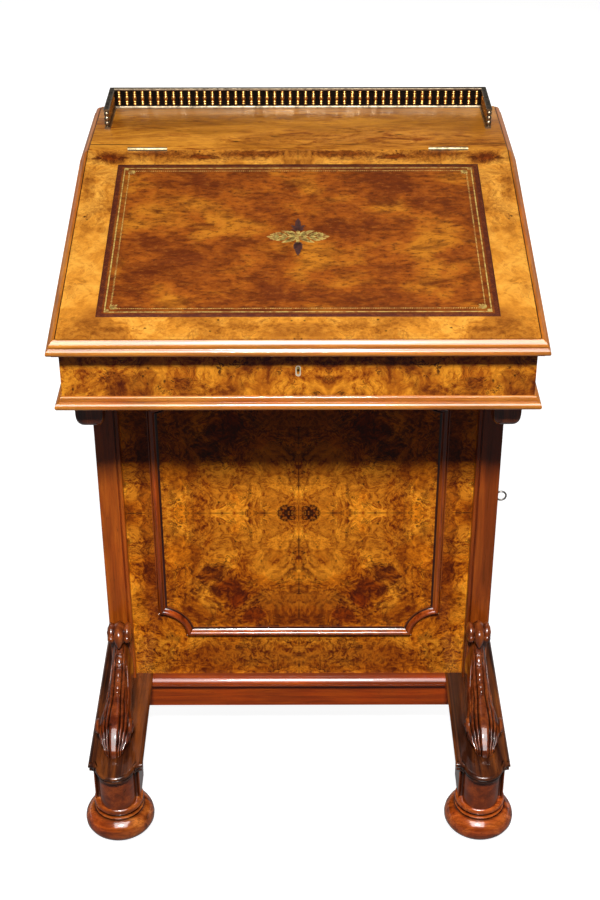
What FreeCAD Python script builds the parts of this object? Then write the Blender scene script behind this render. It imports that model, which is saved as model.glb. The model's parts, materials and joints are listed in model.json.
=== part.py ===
"""Davenport desk: a small writing box with a sloping lid on a narrow panelled pedestal.

Millimetres. +Z is up, +X is the desk's right-hand side, and the sitter is at -Y.
The origin is on the floor, at the middle of the desk's width and depth.
"""
import FreeCAD, Part
import Sketcher
import math
import os
from types import SimpleNamespace

V = FreeCAD.Vector
X_AXIS, Y_AXIS, Z_AXIS = V(1, 0, 0), V(0, 1, 0), V(0, 0, 1)
LEFT, RIGHT = -1, 1

SIZES = {
    # desk as a whole
    "top_width": 564, "top_depth": 570, "top_height": 819, "foot_reach": 24, "seat_gap": 0.3,
    # lid and flat top
    "flat_depth": 175, "lid_slope_angle": 10.9, "top_thickness": 23, "joint_gap": 0.8,
    "edge_width": 12, "edge_quirk": 1.5, "edge_ovolo": 7.4, "edge_fillet": 2.4, "edge_nosing_radius": 4.5,
    "edge_step": 1, "leather_side_margin": 53, "leather_rear_margin": 34.4,
    "leather_front_margin": 51.5, "leather_thickness": 1,
    # writing box
    "box_inset_side": 11, "box_inset_front": 30, "box_inset_back": 8, "box_height": 173,
    "box_front_thickness": 18, "box_side_thickness": 14, "box_back_thickness": 14,
    "box_bottom_thickness": 12,
    "base_moulding_height": 16, "base_moulding_reach": 8.5, "base_nosing_radius": 4.4,
    "base_bead_radius": 1.6, "base_bead_reach": 1,
    # drawers under the flat top
    "drawer_height": 70, "drawer_wall": 6, "drawer_front": 10, "drawer_depth": 138,
    "case_board": 6, "drawer_gap": 0.5, "knob_radius": 6, "knob_length": 12,
    # bearers under the box
    "bearer_height": 41, "bearer_inset": 50, "bearer_nose": 14,
    # pedestal
    "pedestal_inset_side": 21, "pedestal_inset_front": 183, "pedestal_inset_back": 10,
    "upright_width": 32, "upright_depth": 24, "bead_radius": 2.5, "quirk_width": 1.2,
    "panel_recess": 10.5, "panel_thickness": 18, "shelf_thickness": 12,
    "shelf_lower_rise": 167, "shelf_upper_rise": 327, "shelf_door_gap": 3,
    "frame_margin_side": 35.5, "frame_margin_foot": 70, "frame_margin_head": 54, "frame_width": 13,
    "frame_proud": 8, "frame_indent": 37, "side_frame_margin": 36,
    # sled feet
    "sled_inset_side": 4, "sled_width": 72, "sled_top": 118, "sled_inset_back": 4,
    "slab_thickness": 14, "slab_overhang": 6, "slab_step": 2, "slab_rounding": 1.5,
    "nose_radius": 33, "nose_inset": 13, "pillar_radius": 24, "pillar_inset": 15,
    "sled_underside": 52, "arch_top": 92, "arch_radius": 34, "heel_length": 92,
    "rail_underside": 64, "rail_thickness": 18, "rail_inset": 5, "rail_nosing": 10,
    # turned feet
    "bun_radius": 46, "bun_height": 37, "bun_neck": 30, "bun_sole": 27,
    "ring_radius": 33, "ring_height": 10, "foot_inset_front": 22, "foot_inset_back": 46,
    # carved scroll brackets
    "scroll_length": 164, "scroll_height": 112, "scroll_eye_radius": 18, "scroll_eye_width": 34,
    "scroll_body_width": 38, "scroll_lobe_radius": 21, "scroll_lobe_width": 47,
    "scroll_lobe_inset": 108, "scroll_toe_radius": 12, "scroll_toe_width": 30,
    "scroll_lobe_step": 2,
    # brass gallery
    "gallery_inset_side": 25, "gallery_inset_back": 12, "gallery_arm": 88, "gallery_height": 27.5,
    "gallery_base_width": 8, "gallery_base_thickness": 3, "gallery_rail_width": 7,
    "gallery_rail_thickness": 3, "spindle_pitch": 10.6, "spindle_neck": 0.9, "spindle_bulb": 2,
    "post_neck": 1.4, "post_ball_radius": 5,
    # butt hinges
    "pin_radius": 1.25, "knuckle_radius": 2.6, "leaf_thickness": 1.2, "pin_clearance": 0.05,
    "knuckle_gap": 0.3, "barrel_room": 0.4,
    "lid_hinge_length": 51, "lid_hinge_inset": 88, "lid_leaf": 15, "lid_pin_rise": 0.8,
    "door_hinge_length": 50, "door_hinge_margin": 75, "door_leaf": 14, "door_pin_reach": 1.5,
    # side door, its lock and its key
    "door_gap": 1.2, "door_top_gap": 1.5, "lock_height": 46, "lock_depth": 40, "lock_thickness": 8,
    "keyhole_rise": 280, "keyhole_backset": 14, "key_shank": 2, "key_bow_radius": 6.7,
    "key_bow_wire": 1.2, "key_bow_reach": 9.2, "key_bit_height": 5, "key_bit_thickness": 3.5,
    "key_clearance": 0.06, "keyhole_radius": 3, "escutcheon_radius": 8, "escutcheon_thickness": 1,
    "bolt_height": 6, "bolt_thickness": 4, "bolt_length": 26, "bolt_throw": 6, "bolt_rise": 8,
    "bolt_clearance": 0.4, "bit_room": 7.8,
    # till lock of the writing box
    "till_lock_width": 60, "till_lock_height": 36, "till_lock_thickness": 10,
    "till_bolt_width": 14, "till_bolt_thickness": 4, "till_bolt_length": 20, "till_bolt_throw": 5,
    "till_bolt_drop": 0.6, "till_keyhole_drop": 31, "strike_width": 44, "strike_depth": 14,
    "strike_thickness": 1.5, "strike_room": 1.2,
    "thread_width": 6, "thread_height": 14, "thread_wall": 1.3, "thread_depth": 3,
    # how far a cutter runs past the face that it opens
    "cutter_spare": 1,
}

doc = FreeCAD.newDocument("Davenport")
sheet = doc.addObject("Spreadsheet::Sheet", "Dims")
parts = []


# ---------------------------------------------------------------- sizes

class Size:
    """A length or an angle: its value, and the sheet formula that gives it."""

    def __init__(self, formula, value):
        self.formula = formula
        self.value = value

    def joined(self, sign, other, value):
        return Size("(%s %s %s)" % (self.formula, sign, as_size(other).formula), value)

    def __add__(self, other):
        return self.joined("+", other, self.value + float(other))

    def __sub__(self, other):
        return self.joined("-", other, self.value - float(other))

    def __mul__(self, other):
        return self.joined("*", other, self.value * float(other))

    def __truediv__(self, other):
        return self.joined("/", other, self.value / float(other))

    def __radd__(self, other):
        return as_size(other) + self

    def __rsub__(self, other):
        return as_size(other) - self

    def __rmul__(self, other):
        return as_size(other) * self

    def __neg__(self):
        return as_size(0) - self

    def __float__(self):
        return float(self.value)


def as_size(number):
    """Give a plain number the form of a size."""
    if isinstance(number, Size):
        return number
    return Size("(%s)" % repr(float(number)), float(number))


def sine(angle):
    return Size("sin(%s * 1deg)" % angle.formula, math.sin(math.radians(angle.value)))


def cosine(angle):
    return Size("cos(%s * 1deg)" % angle.formula, math.cos(math.radians(angle.value)))


def fill_sheet():
    """Write each size into a cell that its name points to, and return the sizes by name."""
    for row, (name, value) in enumerate(SIZES.items(), start=1):
        sheet.set("A%d" % row, name)
        sheet.set("B%d" % row, str(value))
        sheet.setAlias("B%d" % row, name)
    doc.recompute()
    return SimpleNamespace(**{name: Size("Dims." + name, float(sheet.get(name))) for name in SIZES})


d = fill_sheet()

# ---------------------------------------------------------------- places that pieces share

front_y = d.foot_reach / 2 - d.top_depth / 2
back_y = front_y + d.top_depth
lid_depth = d.top_depth - d.flat_depth
hinge_y = front_y + lid_depth
slope_sin = sine(d.lid_slope_angle)
slope_cos = cosine(d.lid_slope_angle)
slope_tan = slope_sin / slope_cos
top_under = d.top_height - d.top_thickness
lid_length = lid_depth / slope_cos
through = d.top_width * 3

box_base = d.top_height - d.box_height
box_x = d.top_width / 2 - d.box_inset_side
box_front = front_y + d.box_inset_front
box_back = back_y - d.box_inset_back
well_front = box_front + d.box_front_thickness
well_back = box_back - d.box_back_thickness
well_x = box_x - d.box_side_thickness
well_floor = box_base + d.box_bottom_thickness
drawer_front_y = well_back - d.seat_gap - d.drawer_depth

pedestal_x = d.top_width / 2 - d.pedestal_inset_side
pedestal_front = front_y + d.pedestal_inset_front
pedestal_back = back_y - d.pedestal_inset_back
opening_x = pedestal_x - d.upright_width
upright_rear = pedestal_front + d.upright_depth
rear_upright_front = pedestal_back - d.upright_depth
bearer_under = box_base - d.bearer_height
front_panel_y = pedestal_front + d.panel_recess
back_panel_y = pedestal_back - d.panel_recess
door_inner_x = pedestal_x - d.panel_thickness

sled_x = d.top_width / 2 - d.sled_inset_side - d.sled_width / 2
sled_block = d.sled_width - 2 * d.slab_overhang
slab_under = d.sled_top - d.slab_thickness
sled_length = d.top_depth - d.sled_inset_back
rail_x = sled_x - sled_block / 2
floor_x = sled_x - d.sled_width / 2
rail_y = pedestal_front + d.rail_inset

lid_pin_z = d.top_height + d.lid_pin_rise
lid_pin_rows = [side * (d.top_width / 2 - d.lid_hinge_inset) for side in (LEFT, RIGHT)]
door_rear = rear_upright_front - d.door_gap
door_front = upright_rear + d.door_gap
door_low = d.sled_top + d.door_top_gap
door_high = bearer_under - d.door_top_gap
door_pin_x = pedestal_x + d.door_pin_reach
door_pin_y = rear_upright_front - d.door_gap / 2
door_pin_rows = [door_low + d.door_hinge_margin, door_high - d.door_hinge_margin]

key_y = door_front + d.keyhole_backset
key_z = d.sled_top + d.keyhole_rise
bolt_x = door_inner_x + d.lock_thickness / 2 - d.bolt_thickness / 2
bolt_z = key_z + d.bolt_rise


def lid_under(y):
    """Height of the lid's underside at y."""
    return d.top_height - d.top_thickness / slope_cos - slope_tan * (hinge_y - y)


till_bolt_y = well_front - d.till_lock_thickness / 2
till_bolt_top = lid_under(till_bolt_y - d.till_bolt_thickness / 2) - d.till_bolt_drop
till_lock_low = lid_under(well_front) - d.till_lock_height
till_key_z = lid_under(box_front) - d.till_keyhole_drop
strike_y = -(hinge_y - till_bolt_y) / slope_cos - d.top_thickness * slope_tan


# ---------------------------------------------------------------- drawing

def bind(thing, prop, size):
    thing.setExpression(prop, as_size(size).formula)


def place(thing, x=0, y=0, z=0):
    """Tie a piece's place to the sheet."""
    for letter, size in zip("xyz", (x, y, z)):
        bind(thing, "Placement.Base." + letter, size)
    return thing


def turn(thing, axis, angle):
    thing.Placement = FreeCAD.Placement(V(0, 0, 0), FreeCAD.Rotation(axis, angle))
    return thing


def keep(label, piece):
    """Name a piece and list it among those that are written."""
    piece.Label = label
    parts.append(piece)
    return piece


def new_body(name):
    return doc.addObject("PartDesign::Body", name)


def new_sketch(body, role, height=0, shift=0):
    """Add a sketch on one of the body's own planes, or at a height above it."""
    sketch = body.newObject("Sketcher::SketchObject", "Sketch")
    plane = [feature for feature in body.Origin.OriginFeatures if feature.Role == role][0]
    sketch.AttachmentSupport = [(plane, "")]
    sketch.MapMode = "FlatFace"
    bind(sketch, "AttachmentOffset.Base.z", height)
    bind(sketch, "AttachmentOffset.Base.x", shift)
    return sketch


def hold(sketch, kind, target, size):
    """Add one driving constraint and tie it to the sheet."""
    name = "c%d" % sketch.ConstraintCount
    index = sketch.addConstraint(Sketcher.Constraint(kind, *target, float(size)))
    sketch.renameConstraint(index, name)
    bind(sketch, "Constraints." + name, size)


def arc_between(start, end, radius):
    """Return the short arc from start to end; a negative radius bends it inwards."""
    chord = end - start
    rise = math.sqrt(max(radius * radius - chord.Length ** 2 / 4, 0))
    normal = V(-chord.y, chord.x, 0).normalize() * math.copysign(rise, radius)
    centre = (start + end) / 2 + normal
    ends = (start, end) if radius > 0 else (end, start)
    angles = [math.atan2(point.y - centre.y, point.x - centre.x) for point in ends]
    return Part.ArcOfCircle(Part.Circle(centre, Z_AXIS, abs(radius)), angles[0], angles[1])


def draw_run(sketch, corner, start, end):
    """Draw the line or arc that leaves a corner; return its geometry and its two ends."""
    if len(corner) == 2:
        return sketch.addGeometry(Part.LineSegment(start, end), False), 1, 2
    radius = corner[2]
    size = abs(float(radius))
    edge = sketch.addGeometry(arc_between(start, end, float(radius)), False)
    chord = end - start
    if size > chord.Length / 2 * 1.001:
        hold(sketch, "Radius", (edge,), radius if float(radius) > 0 else -radius)
    else:
        kind = "Horizontal" if abs(chord.x) > abs(chord.y) else "Vertical"
        sketch.addConstraint(Sketcher.Constraint(kind, edge, 1, edge, 3))
    return (edge, 1, 2) if float(radius) > 0 else (edge, 2, 1)


def draw(sketch, corners, closed=True):
    """Draw an outline through corners and tie each of them to the sheet.

    A corner is (x, y), or (x, y, radius) where an arc leads on to the next corner. The
    outline runs anticlockwise, and a positive radius bulges outwards.
    """
    points = [V(float(corner[0]), float(corner[1]), 0) for corner in corners]
    last = len(corners) if closed else len(corners) - 1
    runs = [draw_run(sketch, corners[i], points[i], points[(i + 1) % len(points)]) for i in range(last)]
    for index, (edge, start, end) in enumerate(runs):
        hold(sketch, "DistanceX", (-1, 1, edge, start), corners[index][0])
        hold(sketch, "DistanceY", (-1, 1, edge, start), corners[index][1])
        if index + 1 < len(runs) or closed:
            follower = runs[(index + 1) % len(runs)]
            sketch.addConstraint(Sketcher.Constraint("Coincident", edge, end, follower[0], follower[1]))
        else:
            hold(sketch, "DistanceX", (-1, 1, edge, end), corners[-1][0])
            hold(sketch, "DistanceY", (-1, 1, edge, end), corners[-1][1])
    return sketch


def ring(sketch, x, y, radius):
    """Draw a circle and tie it to the sheet."""
    edge = sketch.addGeometry(Part.Circle(V(float(x), float(y), 0), Z_AXIS, float(radius)), False)
    hold(sketch, "DistanceX", (-1, 1, edge, 3), x)
    hold(sketch, "DistanceY", (-1, 1, edge, 3), y)
    hold(sketch, "Radius", (edge,), radius)
    return sketch


def rectangle(x0, y0, x1, y1):
    return [(x0, y0), (x1, y0), (x1, y1), (x0, y1)]


def stadium(half_width, low, high):
    """Upright slot with round ends."""
    return [
        (-half_width, low + half_width, half_width),
        (half_width, low + half_width),
        (half_width, high - half_width, half_width),
        (-half_width, high - half_width),
    ]


def flipped(corners, x_sign, y_sign):
    """Mirror an outline across one or both axes and keep it anticlockwise."""
    moved = [(corner[0] * x_sign, corner[1] * y_sign) + tuple(corner[2:]) for corner in corners]
    if x_sign * y_sign > 0:
        return moved
    count = len(moved)
    return [moved[-i % count][:2] + moved[(-i - 1) % count][2:] for i in range(count)]


def pad(sketch, length, symmetric=False, backwards=False):
    feature = sketch.getParentGeoFeatureGroup().newObject("PartDesign::Pad", "Pad")
    feature.Profile = sketch
    bind(feature, "Length", length)
    feature.SideType = "Symmetric" if symmetric else "One side"
    feature.Reversed = backwards
    return feature


def pocket(sketch, depth, symmetric=False, backwards=False):
    """Cut a sketch into its body and make sure that it takes something away."""
    body = sketch.getParentGeoFeatureGroup()
    doc.recompute()
    before = body.Shape.Volume
    feature = body.newObject("PartDesign::Pocket", "Pocket")
    feature.Profile = sketch
    bind(feature, "Length", depth)
    feature.SideType = "Symmetric" if symmetric else "One side"
    feature.Reversed = backwards
    doc.recompute()
    if body.Shape.Volume > before - 1:
        raise ValueError("a pocket in %s cuts nothing" % body.Label)
    return feature


def sweep(body, path, section):
    """Run a section along a path with mitred corners."""
    pipe = body.newObject("PartDesign::AdditivePipe", "Run")
    pipe.Profile = section
    pipe.Spine = path
    pipe.Transition = "Right corner"


def turned(label, half_profile):
    """A turning about its own Z axis, from its half profile in (radius, height)."""
    body = keep(label, new_body(label))
    revolve(body, draw(new_sketch(body, "XZ_Plane"), half_profile))
    return body


def revolve(body, sketch):
    feature = body.newObject("PartDesign::Revolution", "Turning")
    feature.Profile = sketch
    feature.ReferenceAxis = (sketch, ["V_Axis"])
    feature.Angle = 360
    return feature


def box(corner_a, corner_b, name="Board"):
    """A block between two opposite corners."""
    block = doc.addObject("Part::Box", name)
    pairs = [sorted(pair, key=float) for pair in zip(corner_a, corner_b)]
    for prop, (low, high) in zip(("Length", "Width", "Height"), pairs):
        bind(block, prop, as_size(high) - low)
    return place(block, *[low for low, high in pairs])


def board(label, corner_a, corner_b):
    return keep(label, box(corner_a, corner_b, label))


def rod(start, radius, length, along=Z_AXIS):
    """A round bar that starts at a point and runs along an axis."""
    cylinder = doc.addObject("Part::Cylinder", "Rod")
    bind(cylinder, "Radius", radius)
    bind(cylinder, "Height", length)
    cylinder.Placement = FreeCAD.Placement(V(0, 0, 0), FreeCAD.Rotation(Z_AXIS, along))
    return place(cylinder, *start)


def fuse(shapes):
    if len(shapes) == 1:
        return shapes[0]
    fusion = doc.addObject("Part::MultiFuse", "Joined")
    fusion.Shapes = shapes
    return fusion


def cut(label, base, tools):
    """Take tools away from a base and keep what is left as a piece."""
    piece = doc.addObject("Part::Cut", label)
    piece.Base = base
    piece.Tool = fuse(tools)
    return keep(label, piece)


def sided(stem, side):
    return stem + ("_left" if side == LEFT else "_right")


# ---------------------------------------------------------------- feet

def bun_foot(label, side, y):
    """A compressed bun with a ring turned above it, under one end of a sled."""
    ring_low = d.sled_underside - d.ring_height
    neck = d.bun_neck
    foot = turned(label, [
        (0, 0),
        (d.bun_sole, 0, d.bun_height * 0.62),
        (d.bun_radius, d.bun_height / 2, d.bun_height * 0.58),
        (neck, d.bun_height),
        (neck, ring_low),
        (d.ring_radius - d.ring_height * 0.35, ring_low, d.ring_height * 0.65),
        (d.ring_radius - d.ring_height * 0.35, d.sled_underside),
        (0, d.sled_underside),
    ])
    place(foot, side * sled_x, y, 0)


def sled_outline():
    """Side outline of a sled below its top: front block, arch, plinth and heel."""
    toe_end = d.foot_inset_front * 2 + d.pillar_inset
    spring = d.arch_radius * 0.75
    arch_end = d.pedestal_inset_front - d.rail_inset
    heel_start = sled_length - d.heel_length
    back = sled_length - d.slab_overhang
    return [
        (d.pillar_inset, d.sled_underside),
        (toe_end, d.sled_underside, -d.arch_radius * 1.4),
        (toe_end + spring, d.arch_top),
        (arch_end - spring, d.arch_top, -d.arch_radius * 1.1),
        (arch_end, d.rail_underside),
        (heel_start, d.rail_underside),
        (heel_start + spring / 2, d.sled_underside),
        (back, d.sled_underside),
        (back, slab_under),
        (d.pillar_inset, slab_under),
    ]


def sled(side):
    """One foot rail: a shaped block, a half-round pillar and a moulded top with a round nose."""
    label = sided("sled", side)
    body = keep(label, new_body(label))
    pad(draw(new_sketch(body, "YZ_Plane"), sled_outline()), sled_block, symmetric=True)
    pillar = ring(new_sketch(body, "XY_Plane", d.sled_underside), 0, d.pillar_inset, d.pillar_radius)
    pad(pillar, slab_under - d.sled_underside)
    layer = d.slab_thickness / 2
    for height, inset in ((slab_under, d.slab_step), (slab_under + layer, as_size(0))):
        half = d.sled_width / 2 - inset
        outline = rectangle(-half, inset, half, sled_length - inset)
        pad(draw(new_sketch(body, "XY_Plane", height), outline), layer)
        pad(ring(new_sketch(body, "XY_Plane", height), 0, d.nose_inset, d.nose_radius - inset), layer)
    doc.recompute()
    slab = body.Tip
    rounding = body.newObject("PartDesign::Fillet", "Rounding")
    rounding.Base = (slab, top_edges(slab.Shape))
    bind(rounding, "Radius", d.slab_rounding)
    place(body, side * sled_x, front_y, 0)


def top_edges(shape):
    """Names of the edges round a sled's top."""
    level = float(d.sled_top)
    return ["Edge%d" % index for index, edge in enumerate(shape.Edges, start=1)
            if edge.BoundBox.ZMin > level - 0.01]


# ---------------------------------------------------------------- scroll brackets

def scroll_outline():
    """Side outline of a scroll's body from the upright to its toe."""
    eye, height = d.scroll_eye_radius, d.scroll_height
    lobe_y, lobe_top = -d.scroll_lobe_inset, d.scroll_lobe_radius * 2
    toe = d.scroll_toe_radius
    return [
        (0, 0),
        (0, height - eye),
        (-eye, height - eye),
        (-eye * 1.7, height - eye * 1.5, -height * 0.62),
        (lobe_y + eye * 0.6, lobe_top - d.scroll_lobe_step, d.scroll_lobe_radius * 1.5),
        (toe - d.scroll_length, toe * 1.5),
        (toe - d.scroll_length, 0),
    ]


def scroll_bracket(side):
    """A carved scroll: an eye against the upright, a belly with side lobes, and a toe on the sled."""
    label = sided("scroll_bracket", side)
    body = keep(label, new_body(label))
    eye, lobe, toe = d.scroll_eye_radius, d.scroll_lobe_radius, d.scroll_toe_radius
    pad(draw(new_sketch(body, "YZ_Plane"), scroll_outline()), d.scroll_body_width, symmetric=True)
    rounds = (
        (-eye, d.scroll_height - eye, eye, d.scroll_eye_width),
        (-d.scroll_lobe_inset, lobe, lobe, d.scroll_lobe_width),
        (toe - d.scroll_length, toe, toe, d.scroll_toe_width),
    )
    for y, z, radius, width in rounds:
        pad(ring(new_sketch(body, "YZ_Plane"), y, z, radius), width, symmetric=True)
    place(body, side * (pedestal_x - d.upright_width / 2), pedestal_front, d.sled_top)


# ---------------------------------------------------------------- pedestal

def upright(name, side, facing):
    """A pedestal upright with a bead run down the inner edge of its outside face."""
    width, depth, bead = d.upright_width, d.upright_depth, d.bead_radius
    bead_start = width - bead * 2
    section = [
        (0, 0),
        (bead_start - d.quirk_width, 0),
        (bead_start - d.quirk_width, bead),
        (bead_start, bead, bead),
        (width, bead),
        (width, depth),
        (0, depth),
    ]
    body = new_body(name)
    outline = flipped(section, -side, -facing)
    pad(draw(new_sketch(body, "XY_Plane"), outline), bearer_under - d.sled_top)
    place(body, side * pedestal_x, pedestal_front if facing == LEFT else pedestal_back, d.sled_top)
    return body


def uprights():
    """Four uprights; the right-hand pair is mortised for the door's bolt and let in for its hinges."""
    front, rear = LEFT, RIGHT
    keep("front_upright_left", upright("front_upright_left", LEFT, front))
    keep("rear_upright_left", upright("rear_upright_left", LEFT, rear))
    room = d.bolt_clearance
    mortise = box((bolt_x - room, upright_rear - d.bolt_throw - room, bolt_z - room),
                  (bolt_x + d.bolt_thickness + room, upright_rear + d.cutter_spare,
                   bolt_z + d.bolt_height + room))
    cut("front_upright_right", upright("Front_post", RIGHT, front), [mortise])
    cut("rear_upright_right", upright("Rear_post", RIGHT, rear), door_hinge_seats(RIGHT))


def panel_frame(label, width):
    """An applied moulding frame with indented corners, its back in its own XZ plane."""
    body = keep(label, new_body(label))
    half, bite = width / 2, d.frame_indent
    height = box_base - d.sled_top - d.frame_margin_foot - d.frame_margin_head

    def outline(inset):
        """The frame's line, moved inwards by an inset."""
        side, top, radius = half - inset, height - inset, bite + inset
        reach = bite - inset * 0.13
        return [
            (reach - side, inset),
            (side - reach, inset, -radius),
            (side, inset + reach),
            (side, top - reach, -radius),
            (side - reach, top),
            (reach - side, top, -radius),
            (-side, top - reach),
            (-side, inset + reach, -radius),
        ]

    steps = ((0, 1, 0.5), (0.18, 0.8, 0.8), (0.34, 0.62, 1))
    for outer, inner, height_part in steps:
        sketch = new_sketch(body, "XZ_Plane")
        draw(sketch, outline(d.frame_width * outer))
        draw(sketch, outline(d.frame_width * inner))
        pad(sketch, d.frame_proud * height_part)
    return body


def panel_frames():
    low = d.sled_top + d.frame_margin_foot
    front_width = (opening_x - d.frame_margin_side) * 2
    door_width = door_rear - door_front - d.side_frame_margin * 2
    side_y = (door_rear + door_front) / 2
    place(panel_frame("front_panel_moulding", front_width), 0, front_panel_y, low)
    place(turn(panel_frame("back_panel_moulding", front_width), Z_AXIS, 180), 0, back_panel_y, low)
    place(turn(panel_frame("left_panel_moulding", door_width), Z_AXIS, -90), -pedestal_x, side_y, low)
    place(turn(panel_frame("side_door_moulding", door_width), Z_AXIS, 90), pedestal_x, side_y, low)


def pedestal_boards():
    thick = d.panel_thickness
    board("front_panel", (-opening_x, front_panel_y, d.sled_top),
          (opening_x, front_panel_y + thick, box_base))
    board("back_panel", (-opening_x, back_panel_y - thick, d.sled_top),
          (opening_x, back_panel_y, box_base))
    board("left_side_panel", (-pedestal_x, upright_rear, d.sled_top),
          (-door_inner_x, rear_upright_front, bearer_under))
    board("front_rail", (-rail_x, rail_y, d.rail_underside),
          (rail_x, rail_y + d.rail_thickness, slab_under))
    board("rear_rail", (-rail_x, pedestal_back - d.rail_inset - d.rail_thickness, d.rail_underside),
          (rail_x, pedestal_back - d.rail_inset, slab_under))
    board("cupboard_floor", (-floor_x, rail_y + d.rail_thickness, slab_under),
          (floor_x, pedestal_back, d.sled_top))
    for name, rise in (("lower", d.shelf_lower_rise), ("upper", d.shelf_upper_rise)):
        low = d.sled_top + rise
        board("cupboard_shelf_" + name, (-door_inner_x, front_panel_y + thick, low),
              (door_inner_x - d.shelf_door_gap, back_panel_y - thick, low + d.shelf_thickness))


def rail_moulding():
    """Double-bead nosing on the front rail, level with the tops of the sleds."""
    body = keep("front_rail_moulding", new_body("front_rail_moulding"))
    bead = d.slab_thickness / 4
    middle = d.sled_top - bead * 2
    front = rail_y - d.rail_nosing + bead
    lower_front = front + d.slab_step
    outline = [
        (rail_y + d.rail_thickness, d.sled_top),
        (front, d.sled_top, bead),
        (front, middle),
        (lower_front, middle, bead),
        (lower_front, slab_under),
        (rail_y + d.rail_thickness, slab_under),
    ]
    pad(draw(new_sketch(body, "YZ_Plane"), outline), floor_x * 2, symmetric=True)


def bearer(side):
    """A bearer along the top of the pedestal, with a rounded nose under the box's overhang."""
    label = sided("box_bearer", side)
    body = keep(label, new_body(label))
    start = front_y + d.bearer_inset
    nose = d.bearer_nose
    outline = [
        (start, bearer_under + nose, nose),
        (start + nose, bearer_under),
        (pedestal_back, bearer_under),
        (pedestal_back, box_base),
        (start, box_base),
    ]
    pad(draw(new_sketch(body, "YZ_Plane"), outline), d.upright_width, symmetric=True)
    place(body, side * (pedestal_x - d.upright_width / 2))


# ---------------------------------------------------------------- writing box

def box_boards():
    board("box_bottom", (-well_x, well_front, box_base), (well_x, well_back, well_floor))
    board("box_back", (-box_x, well_back, box_base), (box_x, box_back, top_under))
    for side in (LEFT, RIGHT):
        box_side(side)
    box_front_board()


def box_side(side):
    label = sided("box_side", side)
    body = keep(label, new_body(label))
    outline = [
        (well_front, box_base),
        (well_back, box_base),
        (well_back, top_under),
        (hinge_y + d.joint_gap / 2, top_under),
        (hinge_y + d.joint_gap / 2, lid_under(hinge_y) - d.seat_gap),
        (well_front, lid_under(well_front) - d.seat_gap),
    ]
    pad(draw(new_sketch(body, "YZ_Plane"), outline), d.box_side_thickness, symmetric=True)
    place(body, side * (box_x - d.box_side_thickness / 2))


def box_front_board():
    """Front board of the box, with the bed for its lock and the keyhole."""
    body = keep("box_front", new_body("box_front"))
    top = lid_under(box_front) - d.seat_gap
    outline = [
        (box_front, box_base),
        (well_front, box_base),
        (well_front, lid_under(well_front) - d.seat_gap),
        (box_front, top),
    ]
    pad(draw(new_sketch(body, "YZ_Plane"), outline), box_x * 2, symmetric=True)
    half = d.till_lock_width / 2
    bed = rectangle(-half, till_lock_low, half, top + d.top_thickness)
    pocket(draw(new_sketch(body, "XZ_Plane", -well_front), bed), d.till_lock_thickness, backwards=True)
    hole = stadium(d.thread_width / 2, till_key_z - d.thread_height / 2, till_key_z + d.thread_height / 2)
    pocket(draw(new_sketch(body, "XZ_Plane"), hole), through, symmetric=True)


def box_escutcheon():
    """Brass thread let into the keyhole, flush with the board."""
    body = keep("box_escutcheon", new_body("box_escutcheon"))
    sketch = new_sketch(body, "XZ_Plane", -box_front)
    for inset in (as_size(0), d.thread_wall):
        half = d.thread_width / 2 - inset
        half_height = d.thread_height / 2 - inset
        draw(sketch, stadium(half, till_key_z - half_height, till_key_z + half_height))
    pad(sketch, d.thread_depth, backwards=True)


def box_lock():
    """Till lock let into the front board, with a channel for its rising bolt."""
    body = keep("box_lock", new_body("box_lock"))
    rear, front = well_front, well_front - d.till_lock_thickness
    outline = [
        (front, till_lock_low),
        (rear, till_lock_low),
        (rear, lid_under(rear) - d.seat_gap),
        (front, lid_under(front) - d.seat_gap),
    ]
    pad(draw(new_sketch(body, "YZ_Plane"), outline), d.till_lock_width, symmetric=True)
    room = d.bolt_clearance
    half_width = d.till_bolt_width / 2 + room
    half_depth = d.till_bolt_thickness / 2 + room
    channel = rectangle(-half_width, till_bolt_y - half_depth, half_width, till_bolt_y + half_depth)
    floor = till_bolt_top - d.till_bolt_length - room
    pocket(draw(new_sketch(body, "XY_Plane", floor), channel), d.till_lock_height * 2, backwards=True)


def till_bolt():
    half_width, half_depth = d.till_bolt_width / 2, d.till_bolt_thickness / 2
    board("box_lock_bolt", (-half_width, till_bolt_y - half_depth, till_bolt_top - d.till_bolt_length),
          (half_width, till_bolt_y + half_depth, till_bolt_top))


def edge_run(label, half_width, depth, section, origin):
    """A moulding mitred round three sides: down one side, across, and back up the other."""
    body = keep(label, new_body(label))
    path = new_sketch(body, "XY_Plane")
    draw(path, [(-half_width, 0), (-half_width, depth), (half_width, depth), (half_width, 0)], closed=False)
    sweep(body, path, draw(new_sketch(body, "XZ_Plane"), section))
    return place(body, *origin)


def box_base_moulding():
    """Moulding round the foot of the box: a small bead, a fillet and a half-round nosing."""
    height, nosing, bead = d.base_moulding_height, d.base_nosing_radius, d.base_bead_radius
    wall = -box_x
    nosing_x = wall - d.base_moulding_reach + nosing
    bead_x = wall - d.base_bead_reach
    bead_low = height - bead * 2
    section = [
        (wall, 0),
        (wall, height),
        (bead_x, height, bead),
        (bead_x, bead_low),
        (nosing_x, bead_low),
        (nosing_x, nosing * 2, nosing),
        (nosing_x, 0),
    ]
    edge_run("box_base_moulding", box_x, box_front - box_back, section, (0, box_back, box_base))


def drawer_case():
    """Fixed shelf and divider that house the two small drawers under the flat top."""
    shelf_z = well_floor + d.drawer_height + d.drawer_gap * 2
    half = d.case_board / 2
    shelf = box((-well_x, drawer_front_y, shelf_z), (well_x, well_back, shelf_z + d.case_board))
    divider = box((-half, drawer_front_y, well_floor), (half, well_back, shelf_z + half))
    keep("drawer_case", fuse([shelf, divider]))


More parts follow.
